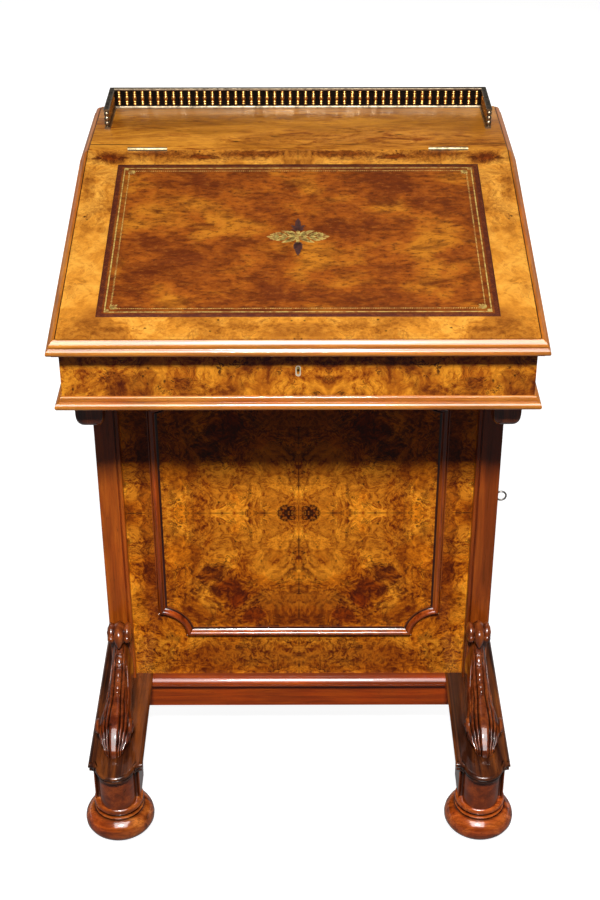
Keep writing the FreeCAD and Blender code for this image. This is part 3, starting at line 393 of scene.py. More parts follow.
def burr_walnut(name, pale, golden, brown, dark, clouds=0.5, crinkle=0.5, mirror=(None, None, None), blots=(),
                plane=(0, 2), loops=(), streak=(1, 1, 1), seams=(), patch=60.0, fleck=0.6, coat=0.3, wander_mm=60.0,
                mirror_line=0.4, mottling=1.0, core=0.66):
    """Burr walnut veneer: cut from a root burr, so a golden ground is mottled and clouded with dark curled grain.

    mirror gives, for each axis, the place that matched leaves are mirrored about. blots are (a, b, half a, half b,
    strength) of darker clouds in that folded plane, and loops are (a, b, radius) of small curled knots. seams are
    (axis, place, width) of straight joints between leaves.
    """
    material, tree, whole = new_material(name)
    sides = add(tree, "SeparateXYZ", whole)
    folded = [sides[i] if middle is None else abs(sides[i] - middle * MM) for i, middle in enumerate(mirror)]
    flat = add(tree, "CombineXYZ", *folded)
    place = add(tree, "Mapping", Vector=flat, Scale=streak)
    drift = add(tree, "TexNoise", Vector=place, Scale=per_mm(55), Detail=4.0)["Color"]
    wander = add(tree, "VectorMath", drift, (0.5, 0.5, 0.5), operation="SUBTRACT")

    def astray(reach, source):
        return add(tree, "VectorMath", wander, (reach, reach, reach), source, operation="MULTIPLY_ADD")

    def distance(source, a, b, half_a, half_b):
        da, db = [(source[axis] - middle * MM) / (half * MM)
                  for axis, middle, half in zip(plane, (a, b), (half_a, half_b))]
        return add(tree, "Math", da * da + db * db, operation="SQRT")

    curled = astray(0.05, place)
    mottle = add(tree, "TexNoise", Vector=curled, Scale=per_mm(7), Detail=8, Roughness=0.76, Distortion=0.2)
    grains = add(tree, "TexNoise", Vector=curled, Scale=per_mm(3.6), Detail=4, Roughness=0.7, Distortion=0.8)
    ground = add(tree, "ValToRGB", add(tree, "TexNoise", Vector=curled, Scale=per_mm(patch), Detail=5, Roughness=0.6),
        stops=((0.36, brown), (0.47, golden), (0.58, pale), (0.72, golden)))
    figured = add(tree, "ValToRGB", add(tree, "TexNoise", Vector=curled, Scale=per_mm(46), Detail=4, Roughness=0.6),
        stops=((0.42, 0.4), (0.58, 1.0)))
    ground = add(tree, "Mix", add(tree, "ValToRGB", mottle, stops=((0.38, mottling), (0.54, 0.0))) * figured, ground,
        STAIN, data_type="RGBA", blend_type="MULTIPLY")
    ground = add(tree, "Mix", add(tree, "ValToRGB", mottle, stops=((0.54, 0.0), (0.74, 0.6 * mottling))), ground,
        pale, data_type="RGBA")

    cloud_source = add(tree, "TexNoise", Vector=curled, Scale=per_mm(85), Detail=7, Roughness=0.66, Distortion=0.3)
    cloud = add(tree, "ValToRGB", cloud_source, stops=((0.50, 0.0), (0.58, 1.0))) * clouds
    edge = abs(cloud_source - 0.505)
    strayed = add(tree, "SeparateXYZ", astray(wander_mm * MM, flat))
    for *blot, strength in blots:
        reach = distance(strayed, *blot) + add(tree, "Math", mottle, 1.3, -0.65, operation="MULTIPLY_ADD")
        cloud = add(tree, "Math", cloud, add(tree, "ValToRGB", reach, stops=((core, strength), (1.02, 0.0))),
            operation="MAXIMUM")
        edge = add(tree, "Math", edge, abs(reach - 0.98) * 0.2, operation="MINIMUM")
    shade = add(tree, "Mix", cloud, ground, STAIN, data_type="RGBA", blend_type="MULTIPLY")
    shade = add(tree, "Mix", cloud * add(tree, "ValToRGB", mottle, stops=((0.40, 0.9), (0.58, 0.2))), shade, dark,
        data_type="RGBA")

    line = add(tree, "ValToRGB", edge, stops=((0.002, 1.0), (0.011, 0.0))) * add(tree, "ValToRGB",
        add(tree, "TexNoise", Vector=place, Scale=per_mm(30), Detail=3, Roughness=0.55), stops=((0.45, 0.0), (0.58,
        1.0)))
    vein = abs(add(tree, "TexNoise", Vector=curled, Scale=per_mm(34), Detail=6, Roughness=0.7, Distortion=0.6) - 0.5)
    vein = add(tree, "ValToRGB", vein, stops=((0.0, 0.9), (0.012, 0.0))) * add(tree, "ValToRGB", add(tree, "TexNoise",
        Vector=place, Scale=per_mm(48), Detail=2, Roughness=0.55), stops=((0.50, 0.0), (0.60, 1.0)))
    shade = add(tree, "Mix", add(tree, "Math", line, vein, operation="MAXIMUM") * crinkle, shade, dark,
        data_type="RGBA")
    specks = add(tree, "ValToRGB", grains, stops=((0.59, 0.0), (0.68, 1.0))) * add(tree, "ValToRGB",
        add(tree, "TexNoise", Vector=place, Scale=per_mm(40), Detail=3, Roughness=0.55), stops=((0.42, 0.0), (0.62,
        fleck)))
    shade = add(tree, "Mix", specks, shade, dark, data_type="RGBA")
    for a, b, radius in loops:
        reach = distance(folded, a, b, radius, radius) + add(tree, "Math", grains, 2.4, -1.2, operation="MULTIPLY_ADD")
        shade = add(tree, "Mix", add(tree, "ValToRGB", abs(reach - 0.8), stops=((0.10, 0.95), (0.34, 0.0))), shade,
            "#2a0d04", data_type="RGBA")
        shade = add(tree, "Mix", add(tree, "ValToRGB", reach, stops=((0.4, 0.65), (1.3, 0.0))), shade, STAIN,
            data_type="RGBA", blend_type="MULTIPLY")
    eyes = add(tree, "TexVoronoi", Vector=astray(0.02, place), Scale=per_mm(13), Randomness=1.0)
    eyes = add(tree, "ValToRGB", eyes, stops=((0.06, 0.9), (0.17, 0.0))) * add(tree, "ValToRGB", add(tree, "TexNoise",
        Vector=place, Scale=per_mm(65), Detail=2, Roughness=0.5), stops=((0.50, 0.0), (0.58, 1.0)))
    shade = add(tree, "Mix", eyes, shade, "#240c03", data_type="RGBA")

    joints = [(folded[i], 0.0, mirror_line, 1.5) for i, middle in enumerate(mirror) if middle is not None]
    joints += [(sides[axis], middle, 0.8, width) for axis, middle, width in seams]
    for source, middle, strength, width in joints:
        thin = add(tree, "ValToRGB", abs(source - middle * MM) / (width * MM), stops=((0.3, strength), (1.0, 0.0)))
        broken = add(tree, "ValToRGB", add(tree, "TexNoise", Vector=place, Scale=per_mm(38), Detail=2,
            Roughness=0.55), stops=((0.44, 0.1), (0.56, 1.0)))
        shade = add(tree, "Mix", thin * broken, shade, "#2a1006", data_type="RGBA")
    polished(shade, add(tree, "ValToRGB", mottle, stops=((0.2, 0.3), (0.8, 0.42))), mottle, coat)
    return material


def solid_walnut(name, grain, pale, middle, dark, coat, roughness):
    """Solid walnut: straight grain with darker bands and open pores, worked and then polished.

    The pores are about 0.2 mm wide on the wood and are drawn 1.1 mm wide, so that they show.
    """
    material, tree, place = new_material(name)

    def drawn_out(factor):
        return add(tree, "Mapping", Vector=place, Scale=tuple(factor if axis == grain else 1.0 for axis in "XYZ"))

    bands, fibre = add(tree, "TexNoise", Vector=drawn_out(0.07), Scale=per_mm(14), Detail=5, Roughness=0.6,
        Distortion=0.5), add(tree, "TexNoise", Vector=drawn_out(0.03), Scale=per_mm(2.2), Detail=3, Roughness=0.55)
    shade = add(tree, "ValToRGB", bands, stops=((0.3, dark), (0.47, middle), (0.68, pale)))
    shade = add(tree, "Mix", add(tree, "ValToRGB", fibre, stops=((0.38, 1.0), (0.52, 0.0))) * 0.35, shade, dark,
        data_type="RGBA")
    shade = add(tree, "Mix", add(tree, "ValToRGB", add(tree, "TexNoise", Vector=place, Scale=per_mm(110), Detail=3,
        Roughness=0.55), stops=((0.42, 0.0), (0.62, 1.0))) * 0.4, shade, pale, data_type="RGBA", blend_type="OVERLAY")
    shade = add(tree, "Mix", add(tree, "ValToRGB", add(tree, "TexNoise", Vector=drawn_out(0.12), Scale=per_mm(1.1),
        Detail=2, Roughness=0.55), stops=((0.30, 1.0), (0.38, 0.0))) * 0.6, shade, "#1c0a04", data_type="RGBA")
    # painted shade: the hollow attribute darkens quirks, grooves and undersides, where shade falls
    painted_hollow_shade = add(tree, "Attribute", attribute_name="hollow")["Fac"]
    shade = add(tree, "Mix", painted_hollow_shade * 0.9, shade, "#140502", data_type="RGBA")
    # darker in concave creases and paler on sharp convex arrises, from the surface's curvature
    surface_curvature = add(tree, "NewGeometry")["Pointiness"]
    shade = add(tree, "Mix", add(tree, "ValToRGB", surface_curvature, stops=((0.44, 0.75), (0.495, 0.0))), shade, "#160803",
        data_type="RGBA")
    shade = add(tree, "Mix", add(tree, "ValToRGB", surface_curvature, stops=((0.52, 0.0), (0.6, 0.35))), shade, pale,
        data_type="RGBA", blend_type="SCREEN")
    polished(shade, add(tree, "ValToRGB", bands, stops=((0.25, roughness[0]), (0.75, roughness[1]))), fibre + bands,
        coat)
    return material


def mahogany(name):
    """Plain mahogany inside the desk: waxed rather than polished, so it is duller and paler."""
    material, tree, place = new_material(name)
    bands = add(tree, "TexNoise", Vector=add(tree, "Mapping", Vector=place, Scale=(0.06, 1, 1)), Scale=per_mm(18),
        Detail=5, Roughness=0.6, Distortion=0.3)
    fibre = add(tree, "TexNoise", Vector=add(tree, "Mapping", Vector=place, Scale=(0.03, 1, 1)), Scale=per_mm(1.6),
        Detail=2, Roughness=0.55)
    shade = add(tree, "ValToRGB", bands, stops=((0.3, "#6f3a1d"), (0.5, "#8d5028"), (0.7, "#a3663a")))
    shade = add(tree, "Mix", add(tree, "ValToRGB", fibre, stops=((0.38, 1.0), (0.5, 0.0))) * 0.5, shade, "#4c2411",
        data_type="RGBA")
    polished(shade, add(tree, "ValToRGB", bands, stops=((0.2, 0.45), (0.8, 0.6))), fibre, 0.05)
    return material


def old_brass(name, bright, dull, rough):
    """Lacquered brass: cast or rolled, once polished, now dulled and browned in its hollows."""
    material, tree, place = new_material(name)
    tarnish = add(tree, "TexNoise", Vector=place, Scale=per_mm(7), Detail=5, Roughness=0.6)
    shade = add(tree, "Mix", add(tree, "ValToRGB", tarnish, stops=((0.4, 0.0), (0.65, 0.8))), bright, dull,
        data_type="RGBA")
    surface_curvature = add(tree, "NewGeometry")["Pointiness"]
    shade = add(tree, "Mix", add(tree, "ValToRGB", surface_curvature, stops=((0.42, 0.8), (0.5, 0.0))), shade, "#2c2010",
        data_type="RGBA")
    surface(shade, add(tree, "ValToRGB", tarnish, stops=((0.3, rough), (0.7, rough + 0.16))), tarnish, 0.05, 0.4,
        Metallic=1.0)
    return material


def filed_steel(name):
    """Steel: filed bright along its length and darkened with age.

    The file's marks are drawn 0.8 mm apart, which is coarser than they are, so that they show.
    """
    material, tree, place = new_material(name)
    file_marks = add(tree, "TexNoise", Vector=add(tree, "Mapping", Vector=place, Scale=(0.08, 0.08, 1)),
        Scale=per_mm(0.8), Detail=2, Roughness=0.55)
    age = add(tree, "TexNoise", Vector=place, Scale=per_mm(9), Detail=4, Roughness=0.55)
    shade = add(tree, "Mix", add(tree, "ValToRGB", age, stops=((0.4, 0.0), (0.65, 0.8))), "#8d8a86", "#5b544c",
        data_type="RGBA")
    surface(shade, add(tree, "ValToRGB", age, stops=((0.3, 0.32), (0.7, 0.5))), file_marks, 0.03, 0.5, Metallic=1.0)
    return material


def gold_leaf(name):
    """Gold leaf pressed into leather: bright where it holds, rubbed through to the hide elsewhere."""
    material, tree, place = new_material(name)
    rubbed = add(tree, "TexNoise", Vector=place, Scale=per_mm(5), Detail=5, Roughness=0.7)
    shade = add(tree, "Mix", add(tree, "ValToRGB", rubbed, stops=((0.44, 0.0), (0.58, 0.9))), "#cbb05e", "#8a5a22",
        data_type="RGBA")
    surface(shade, add(tree, "ValToRGB", rubbed, stops=((0.3, 0.38), (0.7, 0.6))), Metallic=0.35)
    return material


def dark_hide(name):
    """Hide pressed with a hot tool and no gold: the heat leaves it almost black."""
    material, tree, place = new_material(name)
    surface(add(tree, "ValToRGB", add(tree, "TexNoise", Vector=place, Scale=per_mm(3), Detail=3, Roughness=0.55),
        stops=((0.35, "#2c1512"), (0.65, "#4a1f12"))), 0.55, IOR=1.45)
    return material


def tooled_hide(name):
    """Tan hide: dyed by hand, so it is mottled in streaks, with a dark blind-tooled border.

    The hide's pebble is drawn 1.6 mm wide, about twice its size, so that it shows.
    """
    material, tree, place = new_material(name)
    plane = add(tree, "UVMap", uv_map="hide")
    streaks = add(tree, "TexNoise", Vector=add(tree, "Mapping", Vector=plane, Scale=(0.45, 1, 1)), Scale=per_mm(20),
        Detail=7, Roughness=0.7, Distortion=0.3)
    patches = add(tree, "TexNoise", Vector=add(tree, "Mapping", Vector=plane, Scale=(0.75, 1, 1)), Scale=per_mm(80),
        Detail=5, Roughness=0.62, Distortion=0.3)
    fine = add(tree, "TexNoise", Vector=add(tree, "Mapping", Vector=plane, Scale=(0.5, 1, 1)), Scale=per_mm(5.5),
        Detail=6, Roughness=0.78)
    pebble = add(tree, "TexVoronoi", Vector=plane, Scale=per_mm(1.6), Randomness=1.0)
    shade = add(tree, "ValToRGB", patches, stops=((0.38, "#662b06"), (0.5, "#92490c"), (0.62, "#b26c18")))
    shade = add(tree, "Mix", add(tree, "ValToRGB", streaks, stops=((0.38, 1.0), (0.53, 0.0))) * 0.75, shade,
        "#4f1d06", data_type="RGBA")
    shade = add(tree, "Mix", add(tree, "ValToRGB", fine, stops=((0.54, 0.0), (0.68, 1.0))) * 0.35, shade, "#c0782a",
        data_type="RGBA")
    shade = add(tree, "Mix", add(tree, "ValToRGB", fine, stops=((0.38, 1.0), (0.49, 0.0))) * 0.8, shade, "#451804",
        data_type="RGBA")
    shade = add(tree, "Mix", add(tree, "ValToRGB", add(tree, "TexNoise", Vector=plane, Scale=per_mm(14), Detail=5,
        Roughness=0.75), stops=((0.30, 1.0), (0.36, 0.0))) * 0.7, shade, "#2b1109", data_type="RGBA")

    across = add(tree, "SeparateXYZ", plane)
    x, y = across[0], across[1]
    from_side, from_end = [add(tree, "Math", half * MM, abs(value), operation="SUBTRACT")
                           for half, value in ((HIDE_X, x), (HIDE_Y, y))]
    away = add(tree, "Math", from_side, from_end, operation="MINIMUM")
    ragged = add(tree, "Math", fine, 1.6 * MM, away, operation="MULTIPLY_ADD")
    band = add(tree, "ValToRGB", ragged / (HIDE_BORDER * 1.5 * MM), stops=((0.80, 1.0), (1.05, 0.0)))
    pressed = add(tree, "ValToRGB", add(tree, "TexNoise", Vector=plane, Scale=per_mm(8), Detail=5, Roughness=0.7),
        stops=((0.40, "#1a0e12"), (0.5, "#3a1c10"), (0.62, "#784216")))
    shade = add(tree, "Mix", band, shade, pressed, data_type="RGBA")
    shade = add(tree, "Mix", add(tree, "ValToRGB", away / (HIDE_BORDER * MM), stops=((0.2, 0.9), (0.34, 0.0))), shade,
        "#1e1616", data_type="RGBA")
    shade = add(tree, "Mix", add(tree, "ValToRGB", ragged / (HIDE_BORDER * 4.4 * MM), stops=((0.3, 0.6), (1.0, 0.0))),
        shade, "#5a2410", data_type="RGBA")
    zigzag = add(tree, "Math", x + y, 1.6 * MM, operation="PINGPONG") + add(tree, "Math", x - y, 1.6 * MM,
        operation="PINGPONG")
    height = pebble * 0.35 + zigzag * 500.0 * band + fine * 0.4
    surface(shade, add(tree, "ValToRGB", streaks, stops=((0.3, 0.42), (0.7, 0.6))), height, 0.25, 0.7, IOR=1.45,
        Specular_IOR_Level=0.12)
    return material


MATCH_Z = 390.0
PANEL_BLOTS = ((98, 114, 34, 25, 0.95), (122, 96, 26, 22, 0.9), (82, 136, 32, 28, 1.0), (62, 168, 30, 30, 1.0),
               (0, 158, 170, 60, 0.68), (140, 60, 17, 170, 0.6), (4, 66, 12, 32, 0.6), (128, 158, 30, 26, 0.45),
               (60, 14, 18, 24, 0.35), (200, 80, 30, 210, 0.75), (60, 245, 260, 44, 0.62), (178, 120, 12, 60, 0.6))
PANEL_LOOPS = ((9, 6.5, 5.4), (18.5, 6.5, 6.2), (13, 2.0, 4.4), (23, 2.5, 5.0))
LID_BLOTS = ((125, 108, 36, 14, 1.0), (242, 104, 34, 16, 1.0), (60, 112, 90, 14, 0.85), (180, 112, 60, 14, 0.8),
             (140, 108, 190, 20, 0.45), (210, -245, 30, 9, 0.35), (60, -238, 40, 12, 0.3), (262, 40, 9, 60, 0.35))

# finish: name, grain, pale, middle, dark, coat, roughness
WALNUT = {
    "edge": ("Walnut, lid edge", "X", "#c27a2c", "#a05a1a", "#602c0b", 1.0, (0.22, 0.32)),
    "edge_y": ("Walnut, side edge", "Y", "#bc7020", "#985212", "#542608", 0.12, (0.3, 0.42)),
    "rail_x": ("Walnut, rails", "X", "#a84404", "#702404", "#240801", 0.5, (0.26, 0.4)),
    "frame": ("Walnut, panel mouldings", "Z", "#b45a18", "#8a3a0c", "#441604", 0.9, (0.22, 0.34)),
    "post": ("Walnut, uprights", "Z", "#aa5413", "#7a3008", "#341103", 0.5, (0.24, 0.36)),
    "post_dark": ("Walnut, darker upright", "Z", "#964610", "#682606", "#280c02", 0.5, (0.24, 0.36)),
    "sled": ("Walnut, sleds", "Y", "#7c4016", "#38190c", "#120602", 0.7, (0.28, 0.42)),
    "pillar": ("Walnut, sled blocks", "Y", "#8f4012", "#5f2106", "#280c03", 0.8, (0.26, 0.38)),
    "turned": ("Walnut, turned feet", "X", "#c8722c", "#944614", "#3e1504", 1.0, (0.2, 0.3)),
    "carved": ("Walnut, carved brackets", "Z", "#944a1c", "#64290e", "#280d04", 0.8, (0.24, 0.36)),
}
# finish: name, bright, dull, roughness
BRASS = {
    "brass": ("Old brass", "#b79a5c", "#6f5a34", 0.34),
    "thread": ("Bright brass key threads", "#efe4cc", "#c8b898", 0.5),
    "hinge": ("Worn brass hinges", "#988a6a", "#655a42", 0.45),
    "gallery": ("Browned brass gallery rails", "#8f7f68", "#3a3026", 0.3),
    "spindle": ("Brass gallery spindles", "#d2a05a", "#8a5a28", 0.3),
    # ground: a near-black strip of painted shade set between the gallery's spindles
    "ground": ("Dark strip of painted shade behind gallery spindles", "#1a1310", "#0c0806", 0.55),
}
VENEER = {
    "margin": burr_walnut("Burr walnut, lid margin", "#dd9c3c", "#c88228", "#a4641e", "#3c1806", 0.35, 0.4,
                          mirror=(0, None, None), blots=LID_BLOTS, plane=(0, 1), wander_mm=24, fleck=0.15,
                          coat=0.12, mottling=0.6, core=0.3, mirror_line=0.2),
    "top": burr_walnut("Walnut veneer, flat top", "#cc882c", "#ba7822", "#9a5e14", "#5c2c0c", 0.3, 0.2,
                       streak=(0.28, 1, 1), seams=((1, 141.0, 2.4),), fleck=0.15, coat=0.05),
    "frieze": burr_walnut("Burr walnut, box front", "#dc9024", "#b86a14", "#84400a", "#381204", 0.5, 1.0,
                          mirror=(35, None, None), patch=26, mirror_line=0.15, fleck=0.9, mottling=1.1),
    "side": burr_walnut("Burr walnut, sides", "#dc9028", "#b86a16", "#823e0c", "#3a1405", 0.55, 0.6),
    "panel": burr_walnut("Burr walnut, quartered panel", "#f6a028", "#e08012", "#ac5608", "#3a1203", 0.45, 0.9,
                         mirror=(0, None, MATCH_Z), blots=PANEL_BLOTS, loops=PANEL_LOOPS, patch=70, coat=0.12,
                         mottling=1.2, mirror_line=0.7, core=0.4),
    "door": burr_walnut("Burr walnut, quartered door", "#ea9626", "#d07a16", "#9a4c0a", "#3a1303", 0.5, 0.6,
                        mirror=(None, 70, MATCH_Z)),
}
HIDE = {"gilt": gold_leaf("Gold leaf"), "blind": dark_hide("Blind tooling"), "hide": tooled_hide("Tooled tan hide")}
BY_SLOT = {
    "burr_walnut": VENEER,
    "walnut": {finish: solid_walnut(*row) for finish, row in WALNUT.items()},
    "lining_wood": {"lining": mahogany("Mahogany lining")},
    "leather": HIDE,
    "brass": {finish: old_brass(*row) for finish, row in BRASS.items()},
    "steel": {"steel": filed_steel("Filed steel")},
}
MAT = {finish: material for finishes in BY_SLOT.values() for finish, material in finishes.items()}
SLOT_OF = {finish: slot for slot, finishes in BY_SLOT.items() for finish in finishes}


# ---------------------------------------------------------------- geometry nodes

def new_group(name, *labels):
    """A geometry tree with named inputs for its sizes."""
    tree = bpy.data.node_groups.new(name, "GeometryNodeTree")
    tree.interface.new_socket("Geometry", in_out="INPUT", socket_type="NodeSocketGeometry")
    for label in labels:
        kind = "NodeSocketInt" if label == "Seed" else "NodeSocketFloat"
        tree.interface.new_socket(label, in_out="INPUT", socket_type=kind)
    tree.interface.new_socket("Geometry", in_out="OUTPUT", socket_type="NodeSocketGeometry")
    return tree, add(tree, "NodeGroupInput")


def close_group(tree, points, instance, material, **inputs):
    """Every tree sets its instance on points, and ends in real meshes with their material."""
    set_out = add(tree, "GeometryNodeInstanceOnPoints", points, Instance=instance, **inputs)
    dressed = add(tree, "GeometryNodeSetMaterial", add(tree, "GeometryNodeRealizeInstances", set_out),
                  Material=material)
    add(tree, "NodeGroupOutput", dressed)
    return tree


def set_along(tree, sizes):
    """Points along the guide's edges, one pitch apart."""
    curve = add(tree, "GeometryNodeMeshToCurve", sizes["Geometry"])
    return add(tree, "GeometryNodeCurveToPoints", curve, Length=sizes["Pitch"], mode="LENGTH")


def spindle_tree(material):
    """Turned spindles set out along a path: a stem with a bulb at its middle and two knops above and below."""
    tree, sizes = new_group("Gallery spindles", "Pitch", "Height", "Stem radius", "Bulb radius", "Knop radius")
    height, bulb, knop = sizes["Height"], sizes["Bulb radius"], sizes["Knop radius"]

    def raised(shape, share, **inputs):
        lift = add(tree, "CombineXYZ", 0.0, 0.0, height * share)
        return add(tree, "GeometryNodeTransform", shape, Translation=lift, **inputs)

    stem = add(tree, "GeometryNodeMeshCylinder", Vertices=8, Radius=sizes["Stem radius"], Depth=height)
    shapes = [raised(stem, 0.5)]
    for share, radius, tall in [(0.5, bulb, 1.5)] + [(share, knop, 0.7) for share in (0.12, 0.26, 0.74, 0.88)]:
        shapes.append(raised(add(tree, "GeometryNodeMeshUVSphere", 10, 6, 1.0), share,
                             Scale=add(tree, "CombineXYZ", radius, radius, radius * tall)))
    return close_group(tree, set_along(tree, sizes), add(tree, "GeometryNodeJoinGeometry", shapes), material)


def rope_tree(material):
    """Leaning oval beads laid nose to tail along a path, like the strands of a rope."""
    tree, sizes = new_group("Gilt rope", "Pitch", "Length", "Width", "Height", "Lean")
    bead = add(tree, "GeometryNodeTransform", add(tree, "GeometryNodeMeshUVSphere", 6, 3, 0.5),
               Scale=add(tree, "CombineXYZ", sizes["Length"], sizes["Width"], sizes["Height"]),
               Rotation=add(tree, "CombineXYZ", 0.0, 0.0, sizes["Lean"]))
    points = set_along(tree, sizes)
    aimed = add(tree, "FunctionNodeAlignRotationToVector", Vector=points["Tangent"], axis="X", pivot_axis="Z")
    return close_group(tree, points, bead, material, Rotation=aimed)


def screw_tree(material):
    """Countersunk screws: a low domed head with a slot, set at each guide face and turned by chance."""
    tree, sizes = new_group("Slotted screws", "Head radius", "Slot width", "Seed")
    radius = sizes["Head radius"]
    head = add(tree, "GeometryNodeTransform", add(tree, "GeometryNodeMeshUVSphere", 20, 10, radius),
               Scale=(1.0, 1.0, 0.22))
    slot = add(tree, "GeometryNodeMeshCube",
               add(tree, "CombineXYZ", radius * 3.0, sizes["Slot width"], radius * 0.3))
    slot = add(tree, "GeometryNodeTransform", slot, Translation=add(tree, "CombineXYZ", 0.0, 0.0, radius * 0.25))
    cut = add(tree, "GeometryNodeMeshBoolean", Mesh_1=head, Mesh_2=slot, operation="DIFFERENCE")
    chance = add(tree, "FunctionNodeRandomValue", (0, 0, 0), (0, 0, math.pi), Seed=sizes["Seed"],
                 data_type="FLOAT_VECTOR")
    aimed = add(tree, "FunctionNodeAlignRotationToVector", Vector=add(tree, "GeometryNodeInputNormal"), axis="Z")
    spun = add(tree, "FunctionNodeRotateRotation", Rotation=aimed, Rotate_By=chance, rotation_space="LOCAL")
    centres = add(tree, "GeometryNodeMeshToPoints", sizes["Geometry"], mode="FACES")
    return close_group(tree, centres, cut, material, Rotation=spun)


def grown(name, vertices, edges, faces, tree, sizes):
    """Run a tree on a guide mesh and keep the result as a plain mesh."""
    guide = bpy.data.meshes.new(name + "_guide")
    guide.from_pydata([Vector(vertex) * MM for vertex in vertices], edges, faces)
    obj = linked(name + "_guide", guide)
    modifier = obj.modifiers.new("Repeat", "NODES")
    modifier.node_group = tree
    named = {item.name: item.identifier for item in tree.interface.items_tree if item.in_out == "INPUT"}
    for label, value in sizes.items():
        modifier[named[label]] = value
    bpy.context.view_layer.update()
    evaluated = obj.evaluated_get(bpy.context.evaluated_depsgraph_get())
    mesh = bpy.data.meshes.new_from_object(evaluated)
    mesh.name = name
    obj.modifiers.remove(modifier)
    bpy.data.objects.remove(obj)
    smoothed(mesh, 40)
    return mesh


# ---------------------------------------------------------------- lid and flat top

EDGE_OVOLO, EDGE_COVE, EDGE_NOSE, EDGE_QUIRK, EDGE_WIDTH = 7.4, 2.4, 4.5, 1.5, 12.0


def edge_section():
    """Moulded edge: a quirk, an ovolo, a small cove and a half-round nosing; the nosing's face is at nought."""
    cove_top = -EDGE_QUIRK - EDGE_OVOLO
    nose_z = cove_top - EDGE_COVE - EDGE_NOSE
    start = -EDGE_WIDTH + 1.5
    run, drop = EDGE_WIDTH - 1.5 - EDGE_NOSE + 0.9, EDGE_OVOLO - 1.2
    points = [(-EDGE_WIDTH, 0.0), (-EDGE_WIDTH + 0.2, -0.9), (start, -EDGE_QUIRK)]
    points += [(start + run * sin(a) ** 1.4, -EDGE_QUIRK - drop * (1 - cos(a) ** 1.4)) for a in range(6, 90, 7)]
    points += [(-EDGE_NOSE + 0.9, cove_top + 1.2), (-EDGE_NOSE + 0.9, cove_top)]
    points += arc(-EDGE_NOSE + 2.6, cove_top - 0.4, 2.0, 185, 250, 6)
    points += arc(-EDGE_NOSE, nose_z, EDGE_NOSE, 78, -90, 16)
    return points + [(-EDGE_NOSE - 1.0, nose_z - EDGE_NOSE), (-EDGE_NOSE - 1.0, -LID_THICK),
                     (-EDGE_WIDTH, -LID_THICK)]


def edge_painted_shade(height, from_face):
    """Painted shade in the quirk and the cove of the edge moulding; the height is below the top."""
    if from_face > 10.3 and height > -3.0:
        return 1.0
    return 0.35 if -11.35 < height < -9.2 else 0.0


def mitred_edge(name, path, section, node, body="desk", matrix=Matrix(), hollow=None, stop_y=None, middle="front"):
    """Moulding on three sides: a middle length and two side lengths, each with its grain along it."""
    vertices = moved(sweep(path, section), matrix)[0]
    if stop_y is not None:
        vertices = [Vector((v.x, min(v.y, stop_y), v.z)) for v in vertices]
    rings = [vertices[i * len(section):(i + 1) * len(section)] for i in range(4)]
    make("%s_%s" % (name, middle), loft(rings[1:3]), "edge", node, body, hollow, sharp=38)
    make(name + "_sides", joined(loft(rings[:2]), loft(rings[2:])), "edge_y", node, body, hollow, sharp=38)


def lid_pieces():
    # painted shade in the lid edge's quirk and cove
    def lid_edge_painted_shade(point):
        flat = TO_LID @ point
        return edge_painted_shade(flat.z, min(TOP_X - abs(flat.x), flat.y + LID_LENGTH))

    rear = -JOINT_HALF / math.cos(SLOPE)
    path = [(-TOP_X, rear, 0), (-TOP_X, -LID_LENGTH, 0), (TOP_X, -LID_LENGTH, 0), (TOP_X, rear, 0)]
    mitred_edge("lid_edge", path, edge_section(), "lid_moulding", "lid", LID_FRAME, lid_edge_painted_shade,
                HINGE_Y - JOINT_HALF)
    back, start = span("top_board_moulding")[1].y, HINGE_Y + JOINT_HALF
    path = [(TOP_X, start, TOP_Z), (TOP_X, back, TOP_Z), (-TOP_X, back, TOP_Z), (-TOP_X, start, TOP_Z)]
    # painted shade in the flat top's edge quirk and cove
    mitred_edge("top_edge", path, edge_section(), "top_board_moulding", middle="back", hollow=lambda point: edge_painted_shade(
        point.z - TOP_Z, min(TOP_X - abs(point.x), back - point.y)))
    inner = TOP_X - EDGE_WIDTH
    make("flat_top", block((-inner, start, TOP_Z - LID_THICK), (inner, back - EDGE_WIDTH, TOP_Z)), "top",
         "top_board", ease=0.4, sharp=32)


def hide():
    """Leather let into the lid: a fine sheet with its edge turned down a little."""
    turned_in, top, bottom = 0.6, -0.05, -0.9
    xs, ys = [[-half] + [-half + turned_in + (half - turned_in) * 2 * i / steps for i in range(steps + 1)] + [half]
              for half, steps in ((HIDE_X, 24), (HIDE_Y, 18))]
    width, rows = len(xs), len(ys)
    points = [(x, y, top - (0.35 if x in (xs[0], xs[-1]) or y in (ys[0], ys[-1]) else 0.0)) for y in ys for x in xs]
    faces = [(corner, corner + 1, corner + width + 1, corner + width)
             for corner in (j * width + i for j in range(rows - 1) for i in range(width - 1))]
    rim = [*range(width)] + [j * width + width - 1 for j in range(1, rows)] \
        + [(rows - 1) * width + i for i in range(width - 2, -1, -1)] + [j * width for j in range(rows - 2, 0, -1)]
    under = len(points)
    points += [(points[i][0], points[i][1], bottom) for i in rim]
    for k, corner in enumerate(rim):
        following = (k + 1) % len(rim)
        faces.append((corner, under + k, under + following, rim[following]))
    faces.append(tuple(range(under, under + len(rim)))[::-1])
    mesh = bpy.data.meshes.new("writing_hide")
    mesh.from_pydata([LID_FRAME @ Vector((x, y + HIDE_MID, z)) * MM for x, y, z in points], [], faces)
    layer = mesh.uv_layers.new(name="hide")
    for loop in mesh.loops:
        x, y, _ = points[loop.vertex_index]
        layer.data[loop.index].uv = (x * MM, y * MM)
    smoothed(mesh, 40)
    add_piece("writing_hide", mesh, "hide", "lid_leather", "lid")


